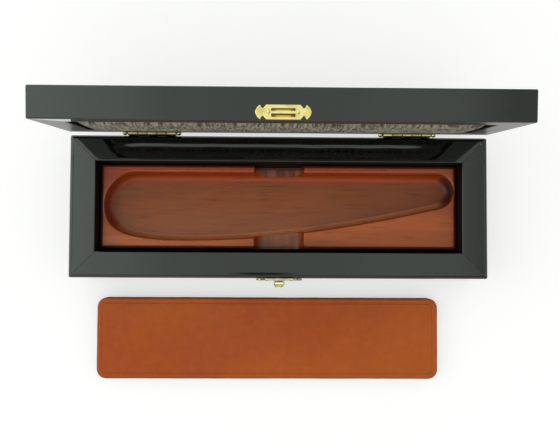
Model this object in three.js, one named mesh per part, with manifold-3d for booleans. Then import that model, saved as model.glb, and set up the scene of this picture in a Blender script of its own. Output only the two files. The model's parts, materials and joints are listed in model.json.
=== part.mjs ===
import * as THREE from 'three';
import { mergeVertices } from 'three/addons/utils/BufferGeometryUtils.js';
import Module from 'manifold-3d';

// A black lacquered travel case for a closed straight razor, with a fitted wooden tray,
// a hinged lid that stands open, a hook latch and a leather strop that lies in front.
// Millimetres. +X runs along the case, +Y towards the hinges, +Z up.
// The origin is the centre of the base's underside.

const wasm = await Module();
wasm.setup();

// Recess that holds the closed razor
const recessLength = 161.4;
const recessWidth = 31.15;
const recessDepth = 12;
const heelRadius = 15;
const noseRadius = 8;
const taperSlope = 0.225;
const taperLength = 8;
const taperHandle = 30;
const bellyFromHeel = 38.5;
const bellyHandle = 38;
const bellyHeelHandle = 24;
const heelHandle = 14;
const recessFloorRadius = 2.7;
const recessLipRadius = 0.8;

// Tray
const trayEndWall = 1.3;
const trayEndShift = 0.2;
const trayBackWall = 3.5;
const trayFrontWall = 3.95;
const trayHeight = 16.2;
const trayClearance = 0.3;
const trayPlayInFront = 1.3;
const traySeatGap = 0.3;
const trayEdgeRadius = 1.4;
const trayCornerRadius = 0.8;
const notchWidth = 22.9;
const notchDepth = 11;
const notchCornerRadius = 4.3;
const notchLipRadius = 0.5;

// Case boards and panels
const boardThickness = 11.7;
const baseHeight = 30;
const lidHeight = 12.4;
const bottomPanelThickness = 4;
const lidPanelThickness = 3.5;
const rabbetWidth = 5;
const outerEdgeRadius = 1.8;
const innerEdgeRadius = 0.8;
const cornerRadius = 1.4;
const glueGap = 0.1;
const rimGap = 0.3;
const leastCorner = 0.05;
const cutOverrun = 1;

// Padded lining in the lid
const liningBorderBelowRim = 0.3;
const liningCrown = 0.6;
const liningEdgeRadius = 0.8;
const liningCornerRadius = 2;
const liningClearance = 0.3;
const liningFlatHalfWidth = 1;

// Hinges
const openAngle = 85;
const hingeFromEnd = 36.7;
const hingeAxisOffset = 1;
const knuckleRadius = 1.1;
const knuckleLength = 4.32;
const knuckleCount = 5;
const knuckleGap = 0.12;
const leafThickness = 0.8;
const leafHeight = 8.6;
const leafCornerRadius = 1;
const hingePinRadius = 0.5;
const pinClearance = 0.05;
const finialRadius = 1.15;
const finialNeckRadius = 0.65;
const finialNeckLength = 0.25;
const stopTongueReach = 3.2;
const stopTongueThickness = 0.7;
const stopGap = 0.06;

// Hinge screws
const screwSpacing = 12.4;
const screwFromEdge = 3;
const screwHeadRadius = 1.3;
const screwShankRadius = 0.6;
const screwLength = 6.5;
const screwSlotWidth = 0.3;
const screwSlotDepth = 0.35;

// Latch plate on the base and keeper plate on the lid
const plateLength = 20.8;
const plateHeight = 5.5;
const plateThickness = 0.9;
const plateBodyLength = 12.6;
const plateNotchCentre = 7.5;
const plateNotchDepth = 1.15;
const plateLobePeak = 8.5;
const plateTipShoulder = 0.45;
const plateFromRim = 0.3;
const plateBevel = 0.15;
const plateSeatGap = 0.05;
const windowLength = 8.9;
const windowHeight = 3.2;
const windowDrop = 0.2;
const keeperBarHeight = 1;
const keeperBarDrop = 0.05;

// Latch hook and its pivot
const hookWidth = 3.6;
const hookWaist = 2.5;
const hookThickness = 0.7;
const hookBarrelRadius = 1.1;
const hookReach = 2.1;
const hookClearance = 0.12;
const hookPlateGap = 0.2;
const hookSideGap = 0.12;
const earThickness = 0.4;
const pivotPinRadius = 0.42;
const pivotHeadRadius = 0.7;
const pivotHeadLength = 0.18;

// Escutcheon nails
const nailSpacing = 11;
const nailHeadRadius = 0.55;
const nailHeadHeight = 0.35;
const nailShankRadius = 0.35;
const nailLength = 5.5;
const holeClearance = 0.06;

// Strop
const stropThickness = 7;
const stropLeatherThickness = 1.7;
const stropPlayLong = 1.45;
const stropPlayCross = 1.15;
const stropCornerRadius = 4.5;
const stropEdgeRadius = 0.9;
const stropGlueGap = 0.1;
const stropInFront = 9.95;
const stropShift = -4.8;

// Sizes that follow
const degree = Math.PI / 180;
const trayLength = recessLength + 2 * trayEndWall;
const trayWidth = recessWidth + trayBackWall + trayFrontWall;
const cavityLength = trayLength + 2 * trayClearance;
const cavityWidth = trayWidth + 2 * trayClearance + trayPlayInFront;
const caseLength = cavityLength + 2 * boardThickness;
const caseWidth = cavityWidth + 2 * boardThickness;
const trayFloor = bottomPanelThickness + traySeatGap;
const hingeAxisY = caseWidth / 2 + hingeAxisOffset;
const hingeAxisZ = baseHeight + rimGap / 2;
const hingeCentreX = caseLength / 2 - hingeFromEnd;
const hingeLength = knuckleCount * knuckleLength;
const lidRimZ = rimGap / 2;
const lidFrontY = -hingeAxisOffset - caseWidth;
const latchPivotZ = baseHeight - plateFromRim - plateHeight / 2;
const pivotOut = plateThickness + plateSeatGap + hookPlateGap + hookBarrelRadius;
const pivotToBar = 2 * plateFromRim + plateHeight + rimGap;

// Solids and cuts
function indexedMesh(geometry) {
  const bare = geometry.clone();
  bare.deleteAttribute('normal');
  bare.deleteAttribute('uv');
  return mergeVertices(bare, 1e-4);
}

function toSolid(geometry) {
  const merged = indexedMesh(geometry);
  const vertProperties = new Float32Array(merged.getAttribute('position').array);
  const triangles = [];
  const index = merged.index.array;
  for (let i = 0; i < index.length; i += 3) {
    const [a, b, c] = [index[i], index[i + 1], index[i + 2]];
    if (a !== b && b !== c && c !== a) {
      triangles.push(a, b, c);
    }
  }
  if (signedVolume(vertProperties, triangles) < 0) {
    triangles.reverse();
  }
  const mesh = new wasm.Mesh({ numProp: 3, vertProperties, triVerts: new Uint32Array(triangles) });
  return new wasm.Manifold(mesh);
}

function signedVolume(positions, triangles) {
  const corner = (i) => new THREE.Vector3().fromArray(positions, 3 * triangles[i]);
  let volume = 0;
  for (let i = 0; i < triangles.length; i += 3) {
    volume += corner(i).dot(corner(i + 1).cross(corner(i + 2))) / 6;
  }
  return volume;
}

function toGeometry(solid) {
  const mesh = solid.getMesh();
  const positions = new Float32Array(mesh.numVert * 3);
  for (let v = 0; v < mesh.numVert; v += 1) {
    for (let k = 0; k < 3; k += 1) {
      positions[3 * v + k] = mesh.vertProperties[mesh.numProp * v + k];
    }
  }
  const geometry = new THREE.BufferGeometry();
  geometry.setAttribute('position', new THREE.BufferAttribute(positions, 3));
  geometry.setIndex(new THREE.BufferAttribute(new Uint32Array(mesh.triVerts), 1));
  geometry.computeVertexNormals();
  return geometry;
}

function cutAll(solid, cutters) {
  return cutters.reduce((rest, cutter) => rest.subtract(cutter), solid);
}

function joinAll(solids) {
  return solids.reduce((sum, solid) => sum.add(solid));
}

// Outlines
function roundedRectangle(length, width, radius) {
  const outline = new THREE.Shape();
  const [x, y] = [length / 2, width / 2];
  outline.moveTo(-x + radius, -y);
  outline.lineTo(x - radius, -y);
  outline.absarc(x - radius, -y + radius, radius, -Math.PI / 2, 0, false);
  outline.lineTo(x, y - radius);
  outline.absarc(x - radius, y - radius, radius, 0, Math.PI / 2, false);
  outline.lineTo(-x + radius, y);
  outline.absarc(-x + radius, y - radius, radius, Math.PI / 2, Math.PI, false);
  outline.lineTo(-x, -y + radius);
  outline.absarc(-x + radius, -y + radius, radius, Math.PI, 1.5 * Math.PI, false);
  outline.closePath();
  return outline;
}

function outlinePoints(outline, divisions) {
  const points = outline.getPoints(divisions);
  return points.filter((point, i) => {
    const next = points[(i + 1) % points.length];
    return point.distanceTo(next) > 1e-4;
  });
}

// Moves each point of a counter-clockwise outline inward along its bisector
function insetPoints(points, distance) {
  const count = points.length;
  return points.map((point, i) => {
    const before = points[(i + count - 1) % count];
    const after = points[(i + 1) % count];
    const edgeIn = point.clone().sub(before).normalize();
    const edgeOut = after.clone().sub(point).normalize();
    const normalIn = new THREE.Vector2(-edgeIn.y, edgeIn.x);
    const normalOut = new THREE.Vector2(-edgeOut.y, edgeOut.x);
    const bisector = normalIn.clone().add(normalOut).normalize();
    return point.clone().addScaledVector(bisector, distance / bisector.dot(normalIn));
  });
}

// A closed body through a stack of matching rings, each { points, z }
function loft(rings) {
  const count = rings[0].points.length;
  const positions = [];
  for (const ring of rings) {
    for (const point of ring.points) {
      positions.push(point.x, point.y, ring.z);
    }
  }
  const index = [];
  for (let r = 0; r + 1 < rings.length; r += 1) {
    for (let i = 0; i < count; i += 1) {
      const j = (i + 1) % count;
      const [a, b] = [r * count + i, r * count + j];
      const [c, d] = [a + count, b + count];
      index.push(a, b, d, a, d, c);
    }
  }
  const top = (rings.length - 1) * count;
  for (const [a, b, c] of THREE.ShapeUtils.triangulateShape(rings[0].points, [])) {
    index.push(a, c, b);
  }
  for (const [a, b, c] of THREE.ShapeUtils.triangulateShape(rings.at(-1).points, [])) {
    index.push(top + a, top + b, top + c);
  }
  const geometry = new THREE.BufferGeometry();
  geometry.setAttribute('position', new THREE.Float32BufferAttribute(positions, 3));
  geometry.setIndex(index);
  return geometry;
}

// A rounded block whose upper edges, and lower ones if asked, are eased
function easedBlock(sizes) {
  const { length, width, height, corner, topRadius, bottomRadius = 0, steps = 5, divisions = 5 } = sizes;
  const ring = (inset, z) => {
    const eased = Math.max(corner - inset, leastCorner);
    const outline = roundedRectangle(length - 2 * inset, width - 2 * inset, eased);
    return { points: outlinePoints(outline, divisions), z };
  };
  const rings = [];
  if (bottomRadius > 0) {
    for (let i = 0; i < steps; i += 1) {
      const turn = (i / steps) * (Math.PI / 2);
      rings.push(ring(bottomRadius * (1 - Math.sin(turn)), bottomRadius * (1 - Math.cos(turn))));
    }
  }
  rings.push(ring(0, bottomRadius));
  for (let i = 0; i <= steps; i += 1) {
    const turn = (i / steps) * (Math.PI / 2);
    rings.push(ring(topRadius * (1 - Math.cos(turn)), height - topRadius * (1 - Math.sin(turn))));
  }
  return loft(rings);
}

// A rod along +Y from y = from to y = to, centred at x and z
function rodAlongY(radius, from, to, x, z, sides = 12) {
  const rod = new THREE.CylinderGeometry(radius, radius, to - from, sides);
  return toSolid(rod.translate(x, (from + to) / 2, z));
}

function rodAlongX(radius, from, to, y, z, sides = 16) {
  const rod = new THREE.CylinderGeometry(radius, radius, to - from, sides);
  return toSolid(rod.rotateZ(Math.PI / 2).translate((from + to) / 2, y, z));
}

function block(x0, x1, y0, y1, z0, z1) {
  const box = new THREE.BoxGeometry(x1 - x0, y1 - y0, z1 - z0);
  return toSolid(box.translate((x0 + x1) / 2, (y0 + y1) / 2, (z0 + z1) / 2));
}

// An outline in Y and Z, pushed along X between two places
function pushAlongX(outline, from, to, curveSegments = 8) {
  const depth = to - from;
  const solid = new THREE.ExtrudeGeometry(outline, { depth, bevelEnabled: false, curveSegments });
  return toSolid(solid.rotateY(Math.PI / 2).rotateX(Math.PI / 2).translate(from, 0, 0));
}

// Mitred boards
// The section of a case board: u runs inward from its outer face, z upward from its rim or its foot.
// The rim is at the top and the rabbet for the panel at the foot.
function boardSection(height, rabbetDepth) {
  const section = new THREE.Shape();
  const inner = boardThickness;
  section.moveTo(outerEdgeRadius, 0);
  section.lineTo(inner - rabbetWidth, 0);
  section.lineTo(inner - rabbetWidth, rabbetDepth);
  section.lineTo(inner, rabbetDepth);
  section.lineTo(inner, height - innerEdgeRadius);
  section.absarc(inner - innerEdgeRadius, height - innerEdgeRadius, innerEdgeRadius, 0, Math.PI / 2, false);
  section.lineTo(outerEdgeRadius, height);
  section.absarc(outerEdgeRadius, height - outerEdgeRadius, outerEdgeRadius, Math.PI / 2, Math.PI, false);
  section.lineTo(0, outerEdgeRadius);
  section.absarc(outerEdgeRadius, outerEdgeRadius, outerEdgeRadius, Math.PI, 1.5 * Math.PI, false);
  section.closePath();
  return outlinePoints(section, 4);
}

// A board along X with its outer face on y = 0 and both ends mitred.
// across is the frame's size at right angles to the board.
function mitredBoard({ length, across, height, rabbetDepth }) {
  const section = boardSection(height, rabbetDepth);
  const positions = [];
  for (const side of [-1, 1]) {
    for (const { x: u, y: z } of section) {
      positions.push(side * (length / 2 - u - glueGap / 2), u, z);
    }
  }
  const count = section.length;
  const index = [];
  for (let i = 0; i < count; i += 1) {
    const j = (i + 1) % count;
    index.push(i, j, count + j, i, count + j, count + i);
  }
  for (const [a, b, c] of THREE.ShapeUtils.triangulateShape(section, [])) {
    index.push(a, c, b, count + a, count + b, count + c);
  }
  const board = new THREE.BufferGeometry();
  board.setAttribute('position', new THREE.Float32BufferAttribute(positions, 3));
  board.setIndex(index);
  const frame = new THREE.ExtrudeGeometry(roundedRectangle(length, across, cornerRadius), {
    depth: height,
    bevelEnabled: false,
    curveSegments: 6,
  });
  return toSolid(board).intersect(toSolid(frame.translate(0, across / 2, 0)));
}

// Finishes
function lacquer() {
  return new THREE.MeshStandardMaterial({ color: 0x121313, roughness: 0.12, metalness: 0 });
}

function brass() {
  return new THREE.MeshStandardMaterial({ color: 0xd9b45a, roughness: 0.28, metalness: 1 });
}

function mahogany() {
  return new THREE.MeshStandardMaterial({ color: 0x8c4a2c, roughness: 0.42, metalness: 0 });
}

function tanLeather() {
  return new THREE.MeshStandardMaterial({ color: 0xa0512b, roughness: 0.5, metalness: 0 });
}

function stainedBoard() {
  return new THREE.MeshStandardMaterial({ color: 0x5a3220, roughness: 0.6, metalness: 0 });
}

function liningCloth() {
  return new THREE.MeshStandardMaterial({ color: 0x66625a, roughness: 0.95, metalness: 0 });
}

// Assembly helpers
function piece(name, solid, material) {
  const mesh = new THREE.Mesh(solid.isBufferGeometry ? solid : toGeometry(solid), material);
  mesh.name = name;
  return mesh;
}

function place(object, x, y, z, turnZ = 0) {
  object.position.set(x, y, z);
  object.rotation.z = turnZ;
  return object;
}

// Screws and nails
// A countersunk slotted screw along +Y, with its head's face on y = 0
function screwSolid() {
  const profile = [
    new THREE.Vector2(0, 0),
    new THREE.Vector2(screwHeadRadius, 0),
    new THREE.Vector2(screwShankRadius, leafThickness),
    new THREE.Vector2(screwShankRadius, screwLength - 2 * screwShankRadius),
    new THREE.Vector2(0, screwLength),
  ];
  const body = toSolid(new THREE.LatheGeometry(profile, 14));
  const [reach, half] = [2 * screwHeadRadius, screwSlotWidth / 2];
  return body.subtract(block(-reach, reach, -cutOverrun, screwSlotDepth, -half, half));
}

// The space that a countersunk screw takes in a leaf, from the same sizes
function countersink(x, z) {
  const head = screwHeadRadius + holeClearance;
  const shank = screwShankRadius + holeClearance;
  const profile = [
    new THREE.Vector2(0, -cutOverrun),
    new THREE.Vector2(head, -cutOverrun),
    new THREE.Vector2(head, 0),
    new THREE.Vector2(shank, leafThickness),
    new THREE.Vector2(shank, leafThickness + cutOverrun),
    new THREE.Vector2(0, leafThickness + cutOverrun),
  ];
  return toSolid(new THREE.LatheGeometry(profile, 14).translate(x, 0, z));
}

// A round-headed nail along +Y, with the underside of its head on y = 0
function nailSolid() {
  const profile = [new THREE.Vector2(0, -nailHeadHeight)];
  const steps = 4;
  for (let i = 1; i <= steps; i += 1) {
    const turn = (i / steps) * (Math.PI / 2);
    profile.push(new THREE.Vector2(nailHeadRadius * Math.sin(turn), -nailHeadHeight * Math.cos(turn)));
  }
  profile.push(new THREE.Vector2(nailShankRadius, 0));
  profile.push(new THREE.Vector2(nailShankRadius, nailLength - 3 * nailShankRadius));
  profile.push(new THREE.Vector2(0, nailLength));
  return toSolid(new THREE.LatheGeometry(profile, 12));
}

// Where the fasteners go
const screwXs = [-screwSpacing / 2, screwSpacing / 2];
const nailXs = [-nailSpacing / 2, nailSpacing / 2];
const screwDown = leafHeight - screwFromEdge;

function screwHolesInBoard(z) {
  const holes = [];
  for (const centre of [-hingeCentreX, hingeCentreX]) {
    for (const x of screwXs) {
      const radius = screwShankRadius + holeClearance;
      holes.push(rodAlongY(radius, -cutOverrun, screwLength + cutOverrun, centre + x, z, 14));
    }
  }
  return holes;
}

function nailHolesInBoard(z) {
  const radius = nailShankRadius + holeClearance;
  return nailXs.map((x) => rodAlongY(radius, -cutOverrun, nailLength + cutOverrun, x, z));
}

// Base
function makeBaseFrame() {
  const group = new THREE.Group();
  const rabbetDepth = bottomPanelThickness + glueGap;
  const long = { length: caseLength, across: caseWidth, height: baseHeight, rabbetDepth };
  const short = { ...long, length: caseWidth, across: caseLength };
  const add = (name, solid, x, y, turnZ) => group.add(place(piece(name, solid, lacquer()), x, y, 0, turnZ));
  const front = cutAll(mitredBoard(long), nailHolesInBoard(latchPivotZ));
  const back = cutAll(mitredBoard(long), screwHolesInBoard(hingeAxisZ - screwDown));
  add('base_front_board', front, 0, -caseWidth / 2, 0);
  add('base_back_board', back, 0, caseWidth / 2, Math.PI);
  add('base_left_board', mitredBoard(short), -caseLength / 2, 0, -Math.PI / 2);
  add('base_right_board', mitredBoard(short), caseLength / 2, 0, Math.PI / 2);
  return group;
}

// A panel that fills the boards' rabbets
function rabbetPanel(from, to) {
  const x = cavityLength / 2 + rabbetWidth - glueGap;
  const y = cavityWidth / 2 + rabbetWidth - glueGap;
  return block(-x, x, -y, y, from, to);
}

function makeBottomPanel() {
  return piece('base_bottom_panel', rabbetPanel(0, bottomPanelThickness), lacquer());
}

// Tray
// The outline of a closed razor, counter-clockwise: a straight back, a small round nose at the right,
// a long slightly bowed taper, a belly and a large round heel at the left
function recessOutline() {
  const left = -recessLength / 2 + trayEndShift;
  const right = recessLength / 2 + trayEndShift;
  const back = trayWidth / 2 - trayBackWall;
  const front = back - recessWidth;
  const slope = Math.atan(taperSlope);
  const nose = new THREE.Vector2(right - noseRadius, back - noseRadius);
  const touch = new THREE.Vector2(Math.sin(slope), -Math.cos(slope));
  const taperStart = nose.clone().addScaledVector(touch, noseRadius);
  const taperEnd = new THREE.Vector2(taperStart.x - taperLength, taperStart.y - taperLength * taperSlope);
  const belly = new THREE.Vector2(left + bellyFromHeel, front);
  const outline = new THREE.Shape();
  outline.moveTo(left + heelRadius, back);
  outline.absarc(left + heelRadius, back - heelRadius, heelRadius, Math.PI / 2, Math.PI, false);
  const heelEnd = back - heelRadius - heelHandle;
  outline.bezierCurveTo(left, heelEnd, belly.x - bellyHeelHandle, front, belly.x, front);
  outline.bezierCurveTo(
    belly.x + bellyHandle,
    front,
    taperEnd.x - taperHandle,
    taperEnd.y - taperHandle * taperSlope,
    taperEnd.x,
    taperEnd.y,
  );
  outline.lineTo(taperStart.x, taperStart.y);
  outline.absarc(nose.x, nose.y, noseRadius, slope - Math.PI / 2, Math.PI / 2, false);
  outline.closePath();
  return outline;
}

// The tool path body that cuts the recess: a filleted floor, straight walls and a flared lip
function recessCutter() {
  const points = outlinePoints(recessOutline(), 14);
  const floor = trayHeight - recessDepth;
  const steps = 4;
  const rings = [];
  for (let i = 0; i <= steps; i += 1) {
    const turn = (i / steps) * (Math.PI / 2);
    const inset = recessFloorRadius * (1 - Math.sin(turn));
    const z = floor + recessFloorRadius * (1 - Math.cos(turn));
    rings.push({ points: insetPoints(points, inset), z });
  }
  for (let i = 0; i <= steps; i += 1) {
    const turn = (i / steps) * (Math.PI / 2);
    const flare = recessLipRadius * (1 - Math.cos(turn));
    const z = trayHeight - recessLipRadius * (1 - Math.sin(turn));
    rings.push({ points: insetPoints(points, -flare), z });
  }
  rings.push({ points: rings.at(-1).points, z: trayHeight + cutOverrun });
  return toSolid(loft(rings));
}

// A finger notch across the whole tray, with a round-cornered floor and flared lips
function notchCutter() {
  const half = notchWidth / 2;
  const floor = trayHeight - notchDepth;
  const lip = trayHeight - notchLipRadius;
  const above = trayHeight + cutOverrun;
  const radius = notchCornerRadius;
  const section = new THREE.Shape();
  section.moveTo(-half + radius, floor);
  section.lineTo(half - radius, floor);
  section.absarc(half - radius, floor + radius, radius, -Math.PI / 2, 0, false);
  section.lineTo(half, lip);
  section.absarc(half + notchLipRadius, lip, notchLipRadius, Math.PI, Math.PI / 2, true);
  section.lineTo(half + notchLipRadius, above);
  section.lineTo(-half - notchLipRadius, above);
  section.lineTo(-half - notchLipRadius, trayHeight);
  section.absarc(-half - notchLipRadius, lip, notchLipRadius, Math.PI / 2, 0, true);
  section.lineTo(-half, floor + radius);
  section.absarc(-half + radius, floor + radius, radius, Math.PI, 1.5 * Math.PI, false);
  section.closePath();
  const depth = trayWidth + 2 * cutOverrun;
  const cut = new THREE.ExtrudeGeometry(section, { depth, bevelEnabled: false, curveSegments: 6 });
  return toSolid(cut.rotateX(Math.PI / 2).translate(0, depth / 2, 0));
}

function makeTray() {
  const body = easedBlock({
    length: trayLength,
    width: trayWidth,
    height: trayHeight,
    corner: trayCornerRadius,
    topRadius: trayEdgeRadius,
    steps: 4,
    divisions: 3,
  });
  const tray = cutAll(toSolid(body), [recessCutter(), notchCutter()]);
  return place(piece('tray_insert', tray, mahogany()), 0, trayPlayInFront / 2, trayFloor);
}

// Hinges
function ownsKnuckle(leaf, i) {
  const ofLid = i % 2 === 1;
  return leaf === 'lid' ? ofLid : !ofLid;
}

function knuckleSpan(i) {
  const from = -hingeLength / 2 + i * knuckleLength;
  return [from + knuckleGap / 2, from + knuckleLength - knuckleGap / 2];
}

// A leaf hanging down from the hinge axis, its back on the case at y = -hingeAxisOffset.
// The lid's leaf is the same piece turned over.
function leafSolid(leaf) {
  const caseFace = -hingeAxisOffset + plateSeatGap;
  const plateTop = knuckleRadius + pinClearance + knuckleGap;
  const outline = roundedRectangle(hingeLength - knuckleGap, leafHeight - plateTop, leafCornerRadius);
  const sheet = { depth: leafThickness, bevelEnabled: false, curveSegments: 4 };
  const flat = new THREE.ExtrudeGeometry(outline, sheet);
  flat.rotateX(Math.PI / 2).translate(0, caseFace + leafThickness, -(leafHeight + plateTop) / 2);
  const parts = [toSolid(flat)];
  for (let i = 0; i < knuckleCount; i += 1) {
    if (ownsKnuckle(leaf, i)) {
      const [from, to] = knuckleSpan(i);
      parts.push(rodAlongX(knuckleRadius, from, to, 0, 0));
      parts.push(block(from, to, caseFace, caseFace + leafThickness, -plateTop - leafCornerRadius, 0));
    }
  }
  const bore = rodAlongX(hingePinRadius + pinClearance, -hingeLength, hingeLength, 0, 0);
  const sinks = screwXs.map((x) => turnedCountersink(x, caseFace + leafThickness));
  return cutAll(joinAll(parts), [bore, ...sinks]);
}

// A countersink whose mouth faces +Y at the given height of leaf
function turnedCountersink(x, mouthY) {
  return countersink(0, 0).rotate([0, 0, 180]).translate([x, mouthY, -screwDown]);
}

// Short tongues behind the base's knuckles, on which the open lid's leaf comes to rest
function stopTongues() {
  const under = plateSeatGap + leafThickness - hingeAxisOffset + stopGap;
  const tongues = [];
  for (let i = 0; i < knuckleCount; i += 1) {
    if (ownsKnuckle('base', i)) {
      const [from, to] = knuckleSpan(i);
      tongues.push(block(from, to, under, under + stopTongueThickness, 0, stopTongueReach));
    }
  }
  const bore = rodAlongX(hingePinRadius + pinClearance, -hingeLength, hingeLength, 0, 0);
  return joinAll(tongues).rotate([-openAngle, 0, 0]).subtract(bore);
}

// A pin through all knuckles with a ball at each end
function hingePinSolid() {
  const end = hingeLength / 2 + finialNeckLength;
  const steps = 8;
  const profile = [];
  const neck = Math.asin(finialNeckRadius / finialRadius);
  for (let i = 0; i <= steps; i += 1) {
    const turn = (i / steps) * (Math.PI - neck);
    const along = -end - finialRadius * (Math.cos(neck) + Math.cos(turn));
    profile.push(new THREE.Vector2(finialRadius * Math.sin(turn), along));
  }
  profile.push(new THREE.Vector2(finialNeckRadius, -hingeLength / 2));
  profile.push(new THREE.Vector2(hingePinRadius, -hingeLength / 2));
  const mirrored = profile.map((point) => new THREE.Vector2(point.x, -point.y)).reverse();
  return toSolid(new THREE.LatheGeometry([...profile, ...mirrored], 16).rotateZ(Math.PI / 2));
}

function makeHinge(side, centreX, lid) {
  const base = new THREE.Group();
  const leaf = leafSolid('base').add(stopTongues());
  base.add(piece(`hinge_${side}_base_leaf`, leaf, brass()));
  base.add(piece(`hinge_${side}_pin`, hingePinSolid(), brass()));
  const lidLeaf = piece(`hinge_${side}_lid_leaf`, leafSolid('lid').scale([1, 1, -1]), brass());
  lid.add(place(lidLeaf, centreX, 0, 0));
  const faceY = -hingeAxisOffset + plateSeatGap + leafThickness;
  const screw = (leaf, i) => piece(`hinge_${side}_${leaf}_screw_${i + 1}`, screwSolid(), brass());
  screwXs.forEach((x, i) => {
    base.add(place(screw('base', i), x, faceY, -screwDown, Math.PI));
    lid.add(place(screw('lid', i), centreX + x, faceY, screwDown, Math.PI));
  });
  return place(base, centreX, hingeAxisY, hingeAxisZ);
}

// Latch and keeper
// A plate with notched fish-tail ends, in X and Y, pushed along Z
function ornamentalPlate() {
  const [tip, body, half] = [plateLength / 2, plateBodyLength / 2, plateHeight / 2];
  const inner = half - plateNotchDepth;
  const shoulder = half - plateTipShoulder;
  const outline = new THREE.Shape();
  outline.moveTo(-body, -half);
  outline.lineTo(body, -half);
  outline.lineTo(plateNotchCentre, -inner);
  outline.quadraticCurveTo(plateLobePeak - plateTipShoulder, -inner, plateLobePeak, -half);
  outline.quadraticCurveTo(tip - plateBevel, -shoulder, tip, 0);
  outline.quadraticCurveTo(tip - plateBevel, shoulder, plateLobePeak, half);
  outline.quadraticCurveTo(plateLobePeak - plateTipShoulder, inner, plateNotchCentre, inner);
  outline.lineTo(body, half);
  outline.lineTo(-body, half);
  outline.lineTo(-plateNotchCentre, inner);
  outline.quadraticCurveTo(-plateLobePeak + plateTipShoulder, inner, -plateLobePeak, half);
  outline.quadraticCurveTo(-tip + plateBevel, shoulder, -tip, 0);
  outline.quadraticCurveTo(-tip + plateBevel, -shoulder, -plateLobePeak, -half);
  outline.quadraticCurveTo(-plateLobePeak + plateTipShoulder, -inner, -plateNotchCentre, -inner);
  outline.closePath();
  const plate = new THREE.ExtrudeGeometry(outline, {
    depth: plateThickness - plateBevel,
    bevelEnabled: true,
    bevelThickness: plateBevel,
    bevelSize: plateBevel,
    bevelOffset: -plateBevel,
    bevelSegments: 1,
    curveSegments: 5,
  });
  plate.translate(0, 0, plateBevel);
  const trimmed = toSolid(plate).trimByPlane([0, 0, 1], plateBevel);
  return trimmed.translate([0, 0, -plateBevel]);
}

// The plate stood up against a face at y = 0, its front towards -Y, with its nail holes
function standingPlate() {
  const radius = nailShankRadius + holeClearance;
  const holes = nailXs.map((x) => rodAlongY(radius, -plateThickness - cutOverrun, cutOverrun, x, 0));
  const plate = ornamentalPlate().rotate([90, 0, 0]).translate([0, -plateSeatGap, 0]);
  return cutAll(plate, holes);
}

function makeNails(prefix, parent, y, z) {
  const head = y - plateSeatGap - plateThickness;
  nailXs.forEach((x, i) => {
    parent.add(place(piece(`${prefix}_nail_${i + 1}`, nailSolid(), brass()), x, head, z));
  });
}

function makeKeeper(lid) {
  const plate = standingPlate();
  const x = windowLength / 2;
  const windowTop = windowHeight / 2 - windowDrop;
  const barTop = keeperBarHeight / 2 - keeperBarDrop;
  const barFoot = barTop - keeperBarHeight;
  const front = -plateThickness - cutOverrun;
  const upper = block(-x, x, front, cutOverrun, barTop, windowTop);
  const lower = block(-x, x, front, cutOverrun, windowTop - windowHeight, barFoot);
  const height = lidRimZ + plateFromRim + plateHeight / 2;
  lid.add(place(piece('keeper_plate', cutAll(plate, [upper, lower]), brass()), 0, lidFrontY, height));
  makeNails('keeper', lid, lidFrontY, height);
}

function earOutline() {
  const ear = new THREE.Shape();
  const radius = hookBarrelRadius;
  ear.moveTo(-plateSeatGap - plateThickness / 2, -radius);
  ear.lineTo(-plateSeatGap - plateThickness / 2, radius);
  ear.lineTo(-pivotOut, radius);
  ear.absarc(-pivotOut, 0, radius, Math.PI / 2, 1.5 * Math.PI, false);
  ear.closePath();
  return ear;
}

function makeLatchPlate() {
  const inner = hookWidth / 2 + hookSideGap;
  const outer = inner + earThickness;
  const ears = [pushAlongX(earOutline(), -outer, -inner), pushAlongX(earOutline(), inner, outer)];
  const bore = rodAlongX(pivotPinRadius + pinClearance, -2 * outer, 2 * outer, -pivotOut, 0);
  const plate = joinAll([standingPlate(), ...ears]).subtract(bore);
  return place(piece('latch_plate', plate, brass()), 0, -caseWidth / 2, latchPivotZ);
}

function makeLatchPin() {
  const outer = hookWidth / 2 + hookSideGap + earThickness + pinClearance;
  const profile = [new THREE.Vector2(0, -outer - pivotHeadLength)];
  profile.push(new THREE.Vector2(pivotHeadRadius - pivotHeadLength, -outer - pivotHeadLength));
  profile.push(new THREE.Vector2(pivotHeadRadius, -outer - pivotHeadLength / 2));
  profile.push(new THREE.Vector2(pivotHeadRadius, -outer));
  profile.push(new THREE.Vector2(pivotPinRadius, -outer));
  const mirrored = profile.map((point) => new THREE.Vector2(point.x, -point.y)).reverse();
  const pin = new THREE.LatheGeometry([...profile, ...mirrored], 16).rotateZ(Math.PI / 2);
  return place(piece('latch_pin', toSolid(pin), brass()), 0, -caseWidth / 2 - pivotOut, latchPivotZ);
}

// The hook's side view when it is latched: Y towards the case, Z up, the pivot at the origin.
// Its nose is bounded by arcs round the pivot, so that it slides over the keeper's bar.
function hookSideOutline() {
  const barTop = pivotToBar + keeperBarHeight / 2 - keeperBarDrop;
  const windowTop = pivotToBar + windowHeight / 2 - windowDrop;
  const plateFront = pivotOut - plateThickness - plateSeatGap;
  const noseInner = Math.hypot(barTop + hookClearance, hookReach);
  const noseOuter = Math.hypot(windowTop - hookClearance, plateFront);
  const shoulder = Math.PI / 2 + Math.asin(hookThickness / noseOuter);
  const side = new THREE.Shape();
  side.moveTo(-hookThickness, 0);
  side.lineTo(0, 0);
  side.lineTo(0, noseInner);
  side.absarc(0, 0, noseInner, Math.PI / 2, Math.acos(hookReach / noseInner), true);
  side.absarc(0, 0, noseOuter, Math.acos(hookReach / noseOuter), shoulder, false);
  side.closePath();
  return side;
}

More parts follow.
